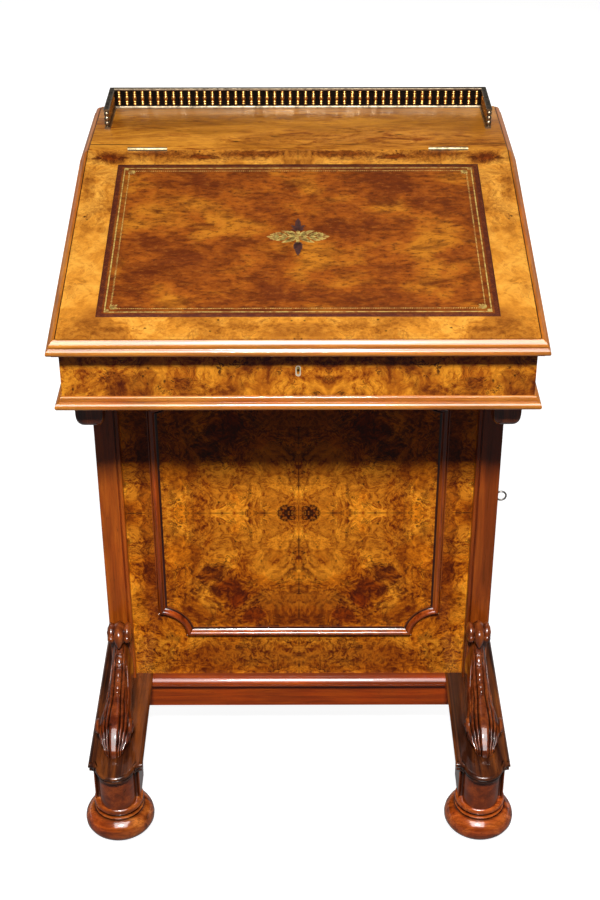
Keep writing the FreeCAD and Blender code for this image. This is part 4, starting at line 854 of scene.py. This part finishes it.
def hide_rectangle(inset, lift=0.0):
    """Corners of a rectangle inside the leather's edge, in the lid's plane."""
    x, y = HIDE_X - inset, HIDE_Y - inset
    return [(sx * x, HIDE_MID + sy * y, lift) for sx, sy in ((-1, -1), (1, -1), (1, 1), (-1, 1))]


def leaf_shape(start, angle, length, width, bend=0.0):
    """A pressed leaf: pointed at both ends and bent to one side; the angle is in degrees, the bend in radians."""
    steps, thick = 8, 0.07
    left, right = [], []
    angle = math.radians(angle)
    for i in range(steps + 1):
        share = i / steps
        facing, heading = angle + bend * share, angle + bend * share / 2
        along = Vector((math.cos(heading), math.sin(heading), 0)) * length * share
        side = Vector((-math.sin(facing), math.cos(facing), 0)) * width / 2 * sin(180 * share) ** 0.75
        left.append(start + along + side)
        right.append(start + along - side)
    return loft([[(p.x, p.y, height) for p in left + right[::-1][1:-1]] for height in (0.0, thick)])


def tooling():
    """Gilt lines round the leather, a fan in each corner and an ornament in the middle."""
    line = [(-0.75, 0.0), (0.75, 0.0), (0.75, 0.06), (-0.75, 0.06)]
    shapes = [sweep(hide_rectangle(9.5), line, closed=True)]
    for sx in (-1, 1):
        for sy in (-1, 1):
            corner = Vector((sx * (HIDE_X - 15.5), HIDE_MID + sy * (HIDE_Y - 15.5), 0))
            inward = math.degrees(math.atan2(-sy, -sx))
            for k, (length, width) in zip((-2, -1, 0, 1, 2), ((8, 2.6), (9, 3), (11, 3.2), (9, 3), (8, 2.6))):
                shapes.append(leaf_shape(corner, inward + k * 21, length, width))
            shapes.append(leaf_shape(corner + Vector((sx * 1.5, sy * 1.5, 0)), inward + 180, 5.5, 4.4))
    middle = Vector((0, HIDE_MID - 1.5, 0))
    for sx in (-1, 1):
        base = 0 if sx > 0 else 180
        for k in range(3):
            foot = middle + Vector((sx * (3 + 9.5 * k), 0, 0))
            for lean in (-sx, sx):
                shapes.append(leaf_shape(foot, base + lean * (58 - 8 * k), 21 - 4.0 * k, 6.0 - 0.8 * k, -lean * 0.8))
                shapes.append(leaf_shape(foot, base + lean * 30, 17 - 3 * k, 4.6, lean * 0.5))
            shapes.append(leaf_shape(foot, base, 11, 3.4))
        shapes.append(leaf_shape(middle + Vector((sx * 29, 0, 0)), base, 9, 4))
    for sy in (-1, 1):
        shapes += [leaf_shape(middle, sy * angle, 15, 5.0, (90 - angle) / 200) for angle in (48, 90, 132)]
    make("gilt_lines", moved(joined(*shapes), LID_FRAME), "gilt", body="lid", sharp=30, merge=0.001)

    fleurons = []
    for sy in (-1, 1):
        foot = middle + Vector((0, sy * 13, 0))
        for angle, length, width in ((90, 26, 7.0), (62, 14, 4.6), (118, 14, 4.6), (35, 8.5, 4), (145, 8.5, 4)):
            fleurons.append(leaf_shape(foot, sy * angle, length, width, 0.012 * (angle - 90)))
        fleurons.append(leaf_shape(foot + Vector((-5, 0, 0)), 0, 10, 3.4))
    make("blind_fleurons", moved(joined(*fleurons), LID_FRAME), "blind", body="lid", sharp=30, merge=0.001)

    mesh = grown("gilt_rope", hide_rectangle(16.0, 0.02), [(0, 1), (1, 2), (2, 3), (3, 0)], [],
                 rope_tree(MAT["gilt"]),
                 {"Pitch": 2.6 * MM, "Length": 3.0 * MM, "Width": 1.5 * MM, "Height": 0.14 * MM, "Lean": 0.5})
    mesh.transform(Matrix.Scale(MM, 4) @ LID_FRAME @ Matrix.Scale(1 / MM, 4))
    add_piece("gilt_rope", mesh, "gilt", body="lid")


# ---------------------------------------------------------------- box

def base_moulding():
    """Moulding round the foot of the box: a bead, a fillet and a half-round nosing."""
    low, high = span("box_base_moulding")
    reach = high.x - span("box_side_right")[1].x
    height = high.z - low.z
    nose = height * 0.29
    section = [(-reach, 0.0), (-nose, 0.0)] + arc(-nose, nose, nose, -90, 90, 14)
    section += [(-nose - 0.5, nose * 2 + 0.2), (-nose - 0.5, height - 3.4)]
    section += arc(-reach + 1.0, height - 1.9, 1.6, -50, 90, 8) + [(-reach, height)]
    path = [(-high.x, high.y, low.z), (-high.x, low.y, low.z), (high.x, low.y, low.z), (high.x, high.y, low.z)]
    mitred_edge("box_base_edge", path, section, "box_base_moulding")


def bearers():
    """Bearers with a rolled nose and softened lower arrises."""
    nose, soft = 15.0, 9.0
    for word, side in SIDES:
        low, high = span("box_bearer_" + word)
        left, right = low.x + soft, high.x - soft
        rings = []
        for y, bottom in arc(low.y + nose, low.z + nose, nose, 180, 270) + [(high.y, low.z)]:
            foot = arc(left, bottom + soft, soft, 180, 270, 6) + arc(right, bottom + soft, soft, 270, 360, 6)
            rings.append([(low.x, y, high.z)] + [(x, y, z) for x, z in foot] + [(high.x, y, high.z)])
        make("bearer_" + word, loft(rings), "carved", "box_bearer_" + word, sharp=40)


# ---------------------------------------------------------------- pedestal

def upright_pieces():
    """Uprights with a quirked bead down the inner edge, a softened outer arris and a mortise for the door's bolt."""
    bolt_low, bolt_high = span("door_lock_bolt")
    room, mortise_depth, bead, quirk = 0.6, 8.0, 2.6, 1.3
    for word, side in SIDES:
        for row, facing in (("front", -1), ("rear", 1)):
            node = "%s_upright_%s" % (row, word)
            low, high = span(node)
            width, depth = high.x - low.x, high.y - low.y
            inner = width - bead * 2
            outline = arc(1.6, 1.6, 1.6, 180, 270, 5)
            outline += [(inner - quirk, 0.0), (inner - quirk + 0.3, bead), (inner - 0.1, bead)]
            outline += arc(width - bead, bead, bead, 180, 360, 12) + [(width, depth), (0.0, depth)]
            outer = low.x if side < 0 else high.x
            face = low.y if facing < 0 else high.y
            shape = prism([(outer - side * x, face - facing * y) for x, y in outline], low.z, high.z)
            if node == "front_upright_right":
                shape = mortised(shape, high.y, (bolt_low.x - room, bolt_low.z - room),
                                 (bolt_high.x + room, bolt_high.z + room), mortise_depth)
            make(node + "_dressed", shape, "post_dark" if side > 0 else "post", node)


def frames():
    """Applied frames with indented corners, drawn flat and then stood up on their panels."""
    indent, rail, proud = 37.0, 13.0, 8.0
    section = [(0.0, 0.0), (0.0, 0.36), (0.07, 0.42), (0.12, 0.34)] + arc(0.40, 0.42, 0.2706, 170, 10, 10, 0.58)
    section += [(0.74, 0.40), (0.80, 0.27), (0.88, 0.22), (0.93, 0.30), (1.0, 0.26), (1.0, 0.0)]
    section = [(-out * rail, rise * proud) for out, rise in section]
    places = (("front", "front_panel_moulding", 0), ("back", "back_panel_moulding", 180),
              ("left", "left_panel_moulding", -90), ("door", "side_door_moulding", 90))
    for word, node, degrees in places:
        low, high = span(node)
        centre = (low + high) / 2
        half = (high.x - low.x if word in ("front", "back") else high.y - low.y) / 2
        height = high.z - low.z
        root = {"front": (centre.x, high.y), "back": (centre.x, low.y), "left": (high.x, centre.y),
                "door": (low.x, centre.y)}[word]
        matrix = at((*root, low.z)) @ turn(degrees, "Z") @ turn(90, "X")
        corners = ((-half, 0, 90, 0), (half, 0, 180, 90), (half, height, 270, 180), (-half, height, 360, 270))
        path = [(px, pz, 0) for x, z, start, end in corners for px, pz in arc(x, z, indent, start, end, 14)]

        # painted shade: the frame's low quirks are darkened in its colour
        def frame_quirk_shade(point, from_panel=matrix.inverted()):
            return min(1.0, max(0.0, (0.40 - (from_panel @ point).z / proud) / 0.05))

        make(word + "_frame", moved(sweep(path, section, closed=True), matrix), "frame", node,
             "side_door" if word == "door" else "desk", frame_quirk_shade)


def rail_edge():
    """Double bead along the front rail, level with the tops of the sleds."""
    low, high = span("front_rail_moulding")
    crown, bead = (high.z - low.z) * 0.52, (high.z - low.z) * 0.19
    outline = [(high.y, low.z), (high.y, high.z), (low.y + crown + 5, high.z)]
    outline += [(low.y + crown * (1 - sin(a) ** 1.4), high.z - crown * (1 - max(cos(a), 0.0) ** 1.4))
                for a in range(0, 91, 9)]
    outline += [(low.y, high.z - crown - 1.0), (low.y + 1.8, high.z - crown - 1.4)]
    outline += arc(low.y + bead + 1.0, low.z + bead, bead, 90, 270)
    # painted shadow: the rail's flat top behind its crown, under the panel, is darkened in its colour
    make("rail_beads", prism(outline, low.x, high.x, "X"), "rail_x", "front_rail_moulding", hollow=lambda point: min(
        0.9, max(0.0, (point.y - low.y - crown) / 6)) if point.z > high.z - 0.1 else 0.0)


# ---------------------------------------------------------------- sleds and feet

def sled_top():
    """Moulded top of a sled: a double bead that runs round a half-round nose between hollow shoulders."""
    nose, shoulder, bead = 26.5, SLED_FRONT + 18.5, 3.3
    hollow = SLED_HALF - nose - 1.2
    outline = arc(0, SLED_FRONT + nose, nose, 188, 352, 30)
    outline += arc(nose + hollow + 0.4, shoulder, hollow, 172, 92, 6)
    outline += [(SLED_HALF, shoulder + hollow), (SLED_HALF, SLED_BACK), (-SLED_HALF, SLED_BACK),
                (-SLED_HALF, shoulder + hollow)]
    outline += arc(-nose - hollow - 0.4, shoulder, hollow, 88, 8, 6)
    profile = [(6.0, -14.0), (4.2, -14.0)] + arc(2.2 + bead, -10.7, -bead * 0.9, -80, 80, 8, bead) + [(3.0, -7.2)]
    profile += arc(bead, -3.7, -bead, -80, 80, 8, bead) + [(4.4, 0.0), (5.6, 0.0)]
    return moved(moulded_slab(outline, profile), at((0, 0, SLED_TOP)))


def sled_block():
    """Body of a sled: the front block with a pillar between hollow flutes, the arch, the plinth and the heel."""
    half, pillar, flute, fillet = SLED_HALF - 6, 24.0, 3.2, 1.6
    low, high = BUN_TOP, SLED_TOP - 14
    pillar_y = SLED_FRONT + 35
    shoulder, block_end = pillar_y - 1.5, pillar_y + 44
    plan = [(-half, block_end), (-half, shoulder), (-half + fillet, shoulder)]
    plan += arc(-half + fillet + flute, pillar_y - 1.0, flute, 180, 60, 6) + arc(0, pillar_y, pillar, 176, 364, 36)
    plan += arc(half - fillet - flute, pillar_y - 1.0, flute, 120, 0, 6)
    plan += [(half - fillet, shoulder), (half, shoulder), (half, block_end)]
    rail_low, rail_face, arch_top, spring = 64.0, span("front_rail")[0].y, 92.0, 25.0
    heel = SLED_BACK - 92
    side = [(block_end - 0.2, low)] + arc(block_end + spring, low, spring, 180, 90, 10, arch_top - low)
    side += arc(rail_face - spring, rail_low, spring, 90, 0, 10, arch_top - rail_low)
    side += [(heel, rail_low), (heel + 6, rail_low - 2), (heel + 12, low), (SLED_BACK - 6, low),
             (SLED_BACK - 6, high), (block_end - 0.2, high)]
    return joined(prism(plan, low, high), prism(side, -half, half, "X"))


def bun_profile():
    """Compressed bun with a thin fillet, a cove and a ring turned above it."""
    top = BUN_TOP
    profile = [(0.0, top), (29.5, top)] + arc(30.2, top - 4.6, 3.0, 85, -85, 10, 4.4)
    profile += [(29.0, top - 9.4), (28.2, top - 10.8), (28.6, top - 12.4), (30.6, top - 13.2)]
    profile += arc(31.2, top - 14.6, 1.4, 80, -80, 4, 1.3) + [(30.2, top - 16.2)]
    profile += [(BUN_RADIUS * share, height) for share, height in (
        (0.71, 35.6), (0.79, 34.2), (0.87, 31.6), (0.935, 28.0), (0.98, 23.4), (1.0, 18.4), (0.99, 13.6),
        (0.94, 9.2), (0.865, 5.4), (0.76, 2.2), (0.66, 0.6), (0.58, 0.0))]
    return profile + [(0.0, 0.0)]


def bun_painted_shade(point):
    """Painted shade in the two grooves above the bun and under its rim, and on the bun's underside by the floor."""
    below = BUN_TOP - point.z
    return 1.0 if 9.2 < below < 12.6 or 15.9 < below < 16.4 else 0.6 if point.z < 3.0 else 0.0


def feet():
    for word, side in SIDES:
        middle = side * SLED_MID

        # painted shade in the groove between the top's beads and in the flutes and shoulders beside the pillar
        def sled_painted_shade(point, middle=middle):
            if point.z > SLED_TOP - 13.9:
                return 0.9 if SLED_TOP - 8.2 < point.z < SLED_TOP - 6.6 else 0.0
            return 1.0 if 23.2 < abs(point.x - middle) < SLED_HALF - 7.2 and point.y < SLED_FRONT + 40 else 0.0

        for name, shape, finish in (("top", sled_top(), "sled"), ("block", sled_block(), "pillar")):
            make("sled_%s_%s" % (word, name), moved(shape, at((middle, 0, 0))), finish, "sled_" + word,
                 hollow=sled_painted_shade)
        for row in ("front", "rear"):
            node = "bun_foot_%s_%s" % (row, word)
            centre = sum(span(node), Vector()) / 2
            make(node + "_dressed", moved(lathe(bun_profile(), 96), at((centre.x, centre.y, 0))), "turned", node,
                 hollow=bun_painted_shade)


# ---------------------------------------------------------------- carved brackets

BRACKET_HEIGHT = 112.0
BELLY_STEPS, RING_STEPS, CURL = 110, 96, 0.25
# keys by the share of the belly's length, of which 1 to 1.25 curls under the toe
CREST_FORWARD = [(0.0, 10.0), (0.14, 34.0), (0.3, 56.0), (0.5, 86.0), (0.68, 113.0), (0.8, 133.0), (0.9, 150.0),
                 (1.0, 165.5)]
CREST_HEIGHT = [(0.0, 86.0), (0.14, 74.0), (0.3, 60.0), (0.5, 47.0), (0.68, 41.0), (0.8, 37.0), (0.9, 28.0),
                (1.0, 11.0)]
ROOT_FORWARD = [(0.0, 2.0), (0.3, 50.0), (0.68, 112.0), (0.85, 134.0), (1.0, 148.0)]
ROOT_LIFT = [(0.0, 0.0), (0.68, 0.0), (0.85, 2.0), (1.0, 6.0)]
BELLY_HALF = [(0.0, 15.0), (0.25, 16.5), (0.5, 19.0), (0.7, 23.0), (0.82, 23.5), (0.92, 20.0), (1.0, 15.0), (1.25, 7.0)]
REED_DEPTH = [(0.0, 1.2), (0.2, 2.2), (0.6, 3.0), (0.85, 4.2), (1.05, 3.0), (1.25, 1.0)]
PLAIN_BAND = [(0.0, 0.36), (0.5, 0.26), (0.85, 0.32), (1.25, 0.42)]


def reed_depth(across, share):
    """Depth of the carving below the belly's envelope: a smooth middle band with three reeds on each side."""
    depth, band, away = spread(share, REED_DEPTH), spread(share, PLAIN_BAND), abs(across)
    if away < band:
        return depth * (away / band) ** 7
    reed = (away - band) / (1 - band) * 3
    reed -= math.floor(min(reed, 2.999))
    return depth * (1 - max(sin(180 * min(reed, 1.0)), 0.0) ** 0.55)


def belly_place(across, share):
    """A point on the carved belly: across runs from -1 to 1, and past a share of 1 the crest curls under."""
    forward, height, root, lift = [smooth_value(min(share, 1.0), keys)
                                   for keys in (CREST_FORWARD, CREST_HEIGHT, ROOT_FORWARD, ROOT_LIFT)]
    if share > 1.0:
        reach, start = math.hypot(forward - root, height - lift), math.atan2(height - lift, forward - root)
        angle = math.degrees(start) - (share - 1.0) / CURL * 110
        forward, height = root + reach * cos(angle), max(lift + reach * sin(angle), 0.6)
    up = Vector((0, root - forward, height - lift))
    valley = reed_depth(across, share)
    tall = (1 - abs(across) ** 2.8) ** 0.45
    tall = max(tall - valley / max(up.length, 1.0) * min(1.0, tall * 2), 0.0)
    side = across * (spread(share, BELLY_HALF) - valley * across * across)
    return Vector((side, -root, lift)) + up * tall


def strand_shape(points, radius):
    """A tapering round strand through points."""
    rings = []
    for i, point in enumerate(points):
        along = (points[min(i + 1, len(points) - 1)] - points[max(i - 1, 0)]).normalized()
        side = along.cross(Z_AXIS).normalized()
        rise = side.cross(along)
        size = radius * max(sin(180 * (i + 0.6) / (len(points) + 0.2)), 0.12) ** 0.6
        rings.append([point + (side * cos(a) + rise * sin(a)) * size for a in range(0, 360, 36)])
    return loft(rings)


def bracket():
    """The carved bracket: reeded belly, rolled volute with its bud and eyes, linked drops and side scrolls.

    It comes with a function that tells how deep the carving lies at a place, used to paint shade into the reeds'
    valleys.
    """
    places = [sin(180 * i / RING_STEPS - 90) * 0.25 + (i / RING_STEPS * 2 - 1) * 0.75 for i in range(RING_STEPS + 1)]
    lookup, depths, rings = KDTree((BELLY_STEPS + 1) * len(places)), [], []
    for step in range(BELLY_STEPS + 1):
        share = (1.0 + CURL) * step / BELLY_STEPS
        rings.append([belly_place(max(-1.0, min(1.0, across)), share) for across in places])
        for across, point in zip(places, rings[-1]):
            lookup.insert(point, len(depths))
            depths.append(min(1.0, reed_depth(across, share) / 2.6) if share > 0.06 else 0.3)
    lookup.balance()

    shapes = [loft(rings)]
    eye_y, eye_z = -18.0, BRACKET_HEIGHT - 17.0
    half_roll = [(0.0, 15.0), (8.0, 15.0), (12.6, 14.2), (14.4, 11.4), (13.2, 8.0), (11.8, 6.8), (13.6, 5.6)]
    roll = [(radius, -height) for radius, height in half_roll] + [(16.8, 0.0)] + half_roll[::-1]
    shapes.append(moved(lathe(roll, 56), at((0, eye_y, eye_z)) @ turn(90, "Y")))
    shapes.append(block((-13.5, -14.0, 4.0), (13.5, 0.0, BRACKET_HEIGHT - 22.0)))
    eye = [(0.0, 3.0), (2.0, 2.6), (3.2, 1.4), (4.0, 0.4), (5.2, 0.6), (6.6, 1.6), (8.2, 1.4), (9.4, 0.0),
           (9.8, -1.6), (0.0, -1.6)]
    for word, side in SIDES:
        outward = turn(90 * side, "Y")
        shapes.append(moved(lathe(eye, 40), at((side * 14.6, eye_y, eye_z)) @ outward))
        shapes.append(ball((side * 10.8, eye_y - 12.0, eye_z - 1.5), (4.8, 5.6, 5.6)))
        volute = at((side * 22.4, -133.0, 29.0)) @ outward @ Matrix.Diagonal((1.05, 1.05, 1.3, 1.0))
        shapes.append(moved(lathe(eye, 40), volute))
        for height, start, end, lean in ((0.34, 0.14, 0.66, 0.10), (0.62, 0.22, 0.74, 0.16)):
            strand = [belly_place(side * (height + lean * sin(6 * i)), start + (end - start) * i / 30) + Z_AXIS * 0.4
                      for i in range(31)]
            shapes.append(strand_shape(strand, 1.5))
    bud = [(0.0, 15.0), (4.0, 13.2), (6.6, 8.5), (6.9, 3.6), (5.6, -1.5), (3.4, -6.5), (1.4, -10.0), (0.0, -11.5)]
    hang = at((0, eye_y - 16.0, eye_z - 2.0)) @ turn(-18, "X") @ Matrix.Diagonal((1.0, 0.9, 1.0, 1.0))
    shapes.append(moved(lathe(bud, 28), hang))
    links = ((0.16, 4.6, 1.7, 2.4), (0.215, 3.8, 5.6, 1.8), (0.27, 4.4, 1.7, 2.4), (0.33, 2.8, 6.0, 1.8),
             (0.39, 3.8, 1.6, 2.2), (0.445, 3.0, 5.0, 1.6), (0.505, 3.0, 3.0, 2.6))
    for share, *radii in links:
        fall = belly_place(0.0, share - 0.01) - belly_place(0.0, share + 0.01)
        slope = Matrix.Rotation(math.atan2(fall.z, fall.y), 4, "X")
        shapes.append(moved(ball((0, 0, 0), radii, 18, 10), at(belly_place(0.0, share) + Z_AXIS * 0.6) @ slope))

    def reed_painted_shade(point):
        near, index, distance = lookup.find(point)
        return depths[index] if distance < 0.5 else 0.0

    return joined(*shapes), reed_painted_shade


def brackets():
    shape, reed_painted_shade = bracket()
    for word, side in SIDES:
        node = "scroll_bracket_" + word
        low, high = span(node)
        corner = Vector(((low.x + high.x) / 2, high.y, low.z))
        # painted shade: the reeds' valleys are darkened by their depth
        make(node + "_carved", moved(shape, at(corner)), "carved", node, sharp=55,
             hollow=lambda point, corner=corner: reed_painted_shade(point - corner))


# ---------------------------------------------------------------- gallery

def gallery():
    """Brass gallery: rounded rails, turned spindles on a dark strip of painted shade and three-ball posts at the arms'
    ends.
    """
    (_, _, foot_z), (_, _, z) = span("gallery_base")
    rail_low, rail_high = span("gallery_rail")
    front, back, half = rail_low.y, rail_high.y, rail_high.x
    width, foot_width = 7.0, 8.0
    centre, height, foot, thick = width / 2, rail_low.z - z, z - foot_z, rail_high.z - rail_low.z

    def around(inset, start, level):
        """Three sides at an inset from the rail's outer face, from a start along each arm."""
        x, y = half - inset, back - inset
        return [(x, start, level), (x, y, level), (-x, y, level), (-x, start, level)]

    top = [(-0.5, 0.0), (0.0, 0.5), (0.0, thick - 0.7), (-0.7, thick), (-width + 0.7, thick),
           (-width, thick - 0.7), (-width, 0.5), (-width + 0.5, 0.0)]
    make("gallery_top_rail", sweep(around(0, front, rail_low.z), top), "gallery", "gallery_rail")
    low_rail = [(0.0, 0.0), (0.0, foot * 0.4), (-0.8, foot), (-foot_width + 0.8, foot), (-foot_width, foot * 0.4),
                (-foot_width, 0.0)]
    make("gallery_foot_rail", sweep(around(0, front, foot_z), low_rail), "gallery", "gallery_base")
    mesh = grown("gallery_turned_spindles", around(centre, front + 8, z), [(0, 1), (1, 2), (2, 3)], [],
                 spindle_tree(MAT["spindle"]),
                 {"Pitch": 10.5 * MM, "Height": height * MM, "Stem radius": 1.3 * MM, "Bulb radius": 2.9 * MM,
                  "Knop radius": 2.6 * MM})
    add_piece("gallery_turned_spindles", mesh, "spindle", "gallery_spindles")
    # a dark strip between the spindles: painted shade where darkness shows through the gallery
    strip = [(0.4, 0.0), (0.4, height), (-0.4, height), (-0.4, 0.0)]
    make("gallery_painted_shade_strip", sweep(around(centre, front + centre, z), strip), "ground")
    post = [(0.0, 0.0), (2.2, 0.0), (2.2, 0.8)]
    for share in (0.19, 0.50, 0.81):
        post += arc(1.3, height * share, 2.1, -80, 80, 10, 3.3)
    post = lathe(post + [(2.2, height - 0.8), (2.2, height), (0.0, height)], 28)
    ends = [moved(post, at((side * (half - centre), front + centre, z))) for word, side in SIDES]
    make("gallery_end_posts", joined(*ends), "gallery")


# ---------------------------------------------------------------- key, knobs, locks and screws

def torus(centre, major, minor, steps=40, sides=14):
    """A ring that lies round the Y axis."""
    rings = []
    for i in range(steps):
        out = Vector((cos(360 * i / steps), sin(360 * i / steps), 0))
        rings.append([out * (major + minor * cos(b)) + Z_AXIS * minor * sin(b)
                      for b in (360 * k / sides for k in range(sides))])
    return moved(loft(rings, closed=True), at(centre) @ Z_AXIS.rotation_difference(Y_AXIS).to_matrix().to_4x4())


def key():
    """Door key: a ring bow, a collar, a round shank and a stepped bit."""
    low, high = span("door_key")
    pivot = Vector(JOINTS["door_key_turn"]["pos_m"]) / MM
    wire, bow = 1.2, 6.7
    bow_x = high.x - bow - wire
    turned = [(0.0, low.x), (1.75, low.x), (2.0, low.x + 0.5), (2.0, pivot.x + 0.6), (1.75, pivot.x + 1.3),
              (1.75, bow_x - bow - 1.0), (1.2, bow_x - bow + 0.6), (0.0, bow_x - bow + 0.8)]
    shapes = [torus((bow_x, pivot.y, pivot.z), bow, wire),
              moved(lathe(turned, 28), at((0, pivot.y, pivot.z)) @ turn(90, "Y")),
              block((low.x + 0.2, pivot.y - 0.8, low.z + 0.1), (low.x + 3.4, pivot.y + 0.8, pivot.z - 1.0))]
    make("key_filed", joined(*shapes), "steel", "door_key", "door_key")


def knobs():
    """Turned knobs of the two inner drawers."""
    profile = [(0.0, 0.0), (0.7, 0.0), (0.72, 0.08), (0.45, 0.18), (0.42, 0.34), (0.6, 0.42), (0.9, 0.5),
               (0.99, 0.66), (0.93, 0.82), (0.7, 0.94), (0.3, 1.0), (0.0, 1.0)]
    for word, side in SIDES:
        node = "inner_drawer_knob_" + word
        low, high = span(node)
        shape = lathe([((high.x - low.x) / 2 * share, (high.y - low.y) * along) for share, along in profile], 40)
        shape = moved(shape, at(((low.x + high.x) / 2, high.y, (low.z + high.z) / 2)) @ turn(90, "X"))
        make("turned_knob_" + word, shape, "turned", node, "inner_drawer_" + word, sharp=32)


def screws():
    """Screws of the two locks, grown from tiny guide faces that look the way each screw does."""
    tree = screw_tree(MAT["steel"])
    low, high = span("box_lock")
    lock_points = [(x, high.y, low.z + rise) for rise in (7, 24) for x in (low.x + 6, high.x - 6)]
    low, high = span("door_lock")
    door_points = [(low.x, y, z) for y in (low.y + 5, high.y - 5) for z in (low.z + 5, high.z - 5)]
    sets = (("box_lock_screws", lock_points, (0, 1, 0), "desk", 2.4),
            ("door_lock_screws", door_points, (-1, 0, 0), "side_door", 2.2))
    for name, points, normal, body, radius in sets:
        side = Vector(normal).orthogonal().normalized() * 0.2
        rise = Vector(normal).cross(side).normalized() * 0.2
        vertices = [Vector(point) + corner for point in points
                    for corner in (side + rise, rise - side, -side - rise, side - rise)]
        faces = [tuple(range(4 * i, 4 * i + 4)) for i in range(len(points))]
        mesh = grown(name, vertices, [], faces, tree,
                     {"Head radius": radius * MM, "Slot width": 0.6 * MM, "Seed": 4})
        add_piece(name, mesh, "steel", body=body)


# ---------------------------------------------------------------- carried-over CAD nodes

CARRIED = {
    "margin": "lid_board", "frieze": "box_front", "side": "box_back box_side_left box_side_right",
    "panel": "front_panel back_panel", "door": "left_side_panel side_door", "rail_x": "front_rail rear_rail",
    "lining": "box_bottom cupboard_floor cupboard_shelf_lower cupboard_shelf_upper drawer_case inner_drawer_left "
              "inner_drawer_right",
    "hinge": "lid_hinge_fixed_leaves lid_hinge_moving_leaves", "thread": "box_escutcheon",
    "brass": "door_hinge_fixed_leaves door_hinge_moving_leaves lid_strike_plate box_lock door_lock door_escutcheon",
    "steel": "hinge_pins box_lock_bolt door_lock_bolt",
}


def carry_over():
    """Give each CAD node that stays its own material."""
    finish_of = {node: finish for finish, nodes in CARRIED.items() for node in nodes.split()}
    for obj in bpy.context.scene.objects:
        node = obj.get("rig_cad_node")
        if node in finish_of:
            obj.data.materials.clear()
            obj.data.materials.append(MAT[finish_of[node]])


# ---------------------------------------------------------------- studio

FILL, GLOSSY_FLOOR, FLOOR_GLOW, FLOOR_HALF = 0.055, 0.2, 0.93, 9000.0
WHITE = (1, 1, 1, 1)


def mirrored_ray(path):
    return add(path.tree, "Math", path["Is Glossy Ray"], path["Is Transmission Ray"], operation="MAXIMUM")


def studio():
    """White room behind, dim room in front: the camera sees white all round."""
    world = bpy.data.worlds.new("Studio")
    bpy.context.scene.world = world
    world.use_nodes = True
    tree = world.node_tree
    tree.nodes.clear()
    path = add(tree, "LightPath")
    facing = add(tree, "SeparateXYZ", add(tree, "TexCoord")["Generated"])
    backdrop = add(tree, "ValToRGB", facing[2], stops=((0.05, 1.0), (0.22, 0.0))) * add(tree, "ValToRGB", facing[1],
        stops=((0.0, 0.0), (0.3, 1.0)))
    level = add(tree, "Mix", Factor=mirrored_ray(path), A=FILL, B=add(tree, "Math", backdrop, 0.95, 0.05,
        operation="MULTIPLY_ADD"))
    level = add(tree, "Mix", Factor=path["Is Camera Ray"], A=level, B=1.0)
    tone = add(tree, "Mix", path["Is Diffuse Ray"], WHITE, (1, 0.75, 0.55, 1), data_type="RGBA")
    add(tree, "OutputWorld", add(tree, "Background", Color=tone, Strength=level))

    material, tree, _ = new_material("Studio floor")
    path = add(tree, "LightPath")
    seen = add(tree, "AddShader", add(tree, "BsdfDiffuse", Color=(0.3, 0.3, 0.3, 1)),
               add(tree, "Emission", Color=WHITE, Strength=FLOOR_GLOW))
    unseen = add(tree, "MixShader", mirrored_ray(path), add(tree, "BsdfDiffuse", Color=(0.09, 0.055, 0.035, 1)),
                 add(tree, "Emission", Color=WHITE, Strength=GLOSSY_FLOOR))
    add(tree, "OutputMaterial", add(tree, "MixShader", path["Is Camera Ray"], unseen, seen))
    mesh = bpy.data.meshes.new("floor")
    mesh.from_pydata([Vector((x * FLOOR_HALF, y * FLOOR_HALF, -0.3)) * MM
                      for x, y in ((-1, -1), (1, -1), (1, 1), (-1, 1))], [], [(0, 1, 2, 3)])
    mesh.materials.append(material)
    linked("floor", mesh)


def lamp(name, place, target_z, width, height, power, mirrored=True, lights_up=True):
    """A lamp in metres and watts, aimed at the middle of the desk at a height."""
    data = bpy.data.lights.new(name, "AREA")
    data.shape = "RECTANGLE"
    data.size, data.size_y, data.energy = width, height, power
    obj = linked(name, data)
    obj.visible_camera, obj.visible_glossy, obj.visible_diffuse = False, mirrored, lights_up
    obj.location = place
    obj.rotation_mode = "QUATERNION"
    obj.rotation_quaternion = (Vector((0, 0, target_z)) - Vector(place)).to_track_quat("-Z", "Y")


def lights():
    """A key lamp above and before the desk, weak wide ones round it, and a broad sheet that only the polish mirrors."""
    lamp("Key", (0.0, -3.2 * cos(47), 0.55 + 3.2 * sin(47)), 0.5, 0.45, 0.35, 150)
    lamp("Side left", (-3.0, 0.5, 1.4), 0.5, 1.6, 1.6, 14, mirrored=False)
    lamp("Side right", (3.0, 0.5, 1.4), 0.5, 1.6, 1.6, 14, mirrored=False)
    lamp("Rear", (0.6, 3.0, 1.6), 0.4, 1.8, 1.2, 42, mirrored=False)
    lamp("Sheen", (0.0, -2.6 * cos(50), 0.6 + 2.6 * sin(50)), 0.6, 1.8, 2.5, 150, lights_up=False)


def camera():
    data = bpy.data.cameras.new("Camera")
    data.lens, data.sensor_width = 64.0, 36.0
    obj = linked("Camera", data)
    obj.location = (0.0019, -1.8379, 1.5722)
    level = turn(90 - 31.657, "X") @ Matrix.Rotation(-0.002, 4, "Z")
    obj.rotation_euler = level.to_euler()
    bpy.context.scene.camera = obj


for build in (lid_pieces, hide, tooling, base_moulding, bearers, upright_pieces, frames, rail_edge, feet, brackets,
              gallery, key, knobs, screws, carry_over, studio, lights, camera):
    build()

view_settings = bpy.context.scene.view_settings
view_settings.view_transform = "Standard"
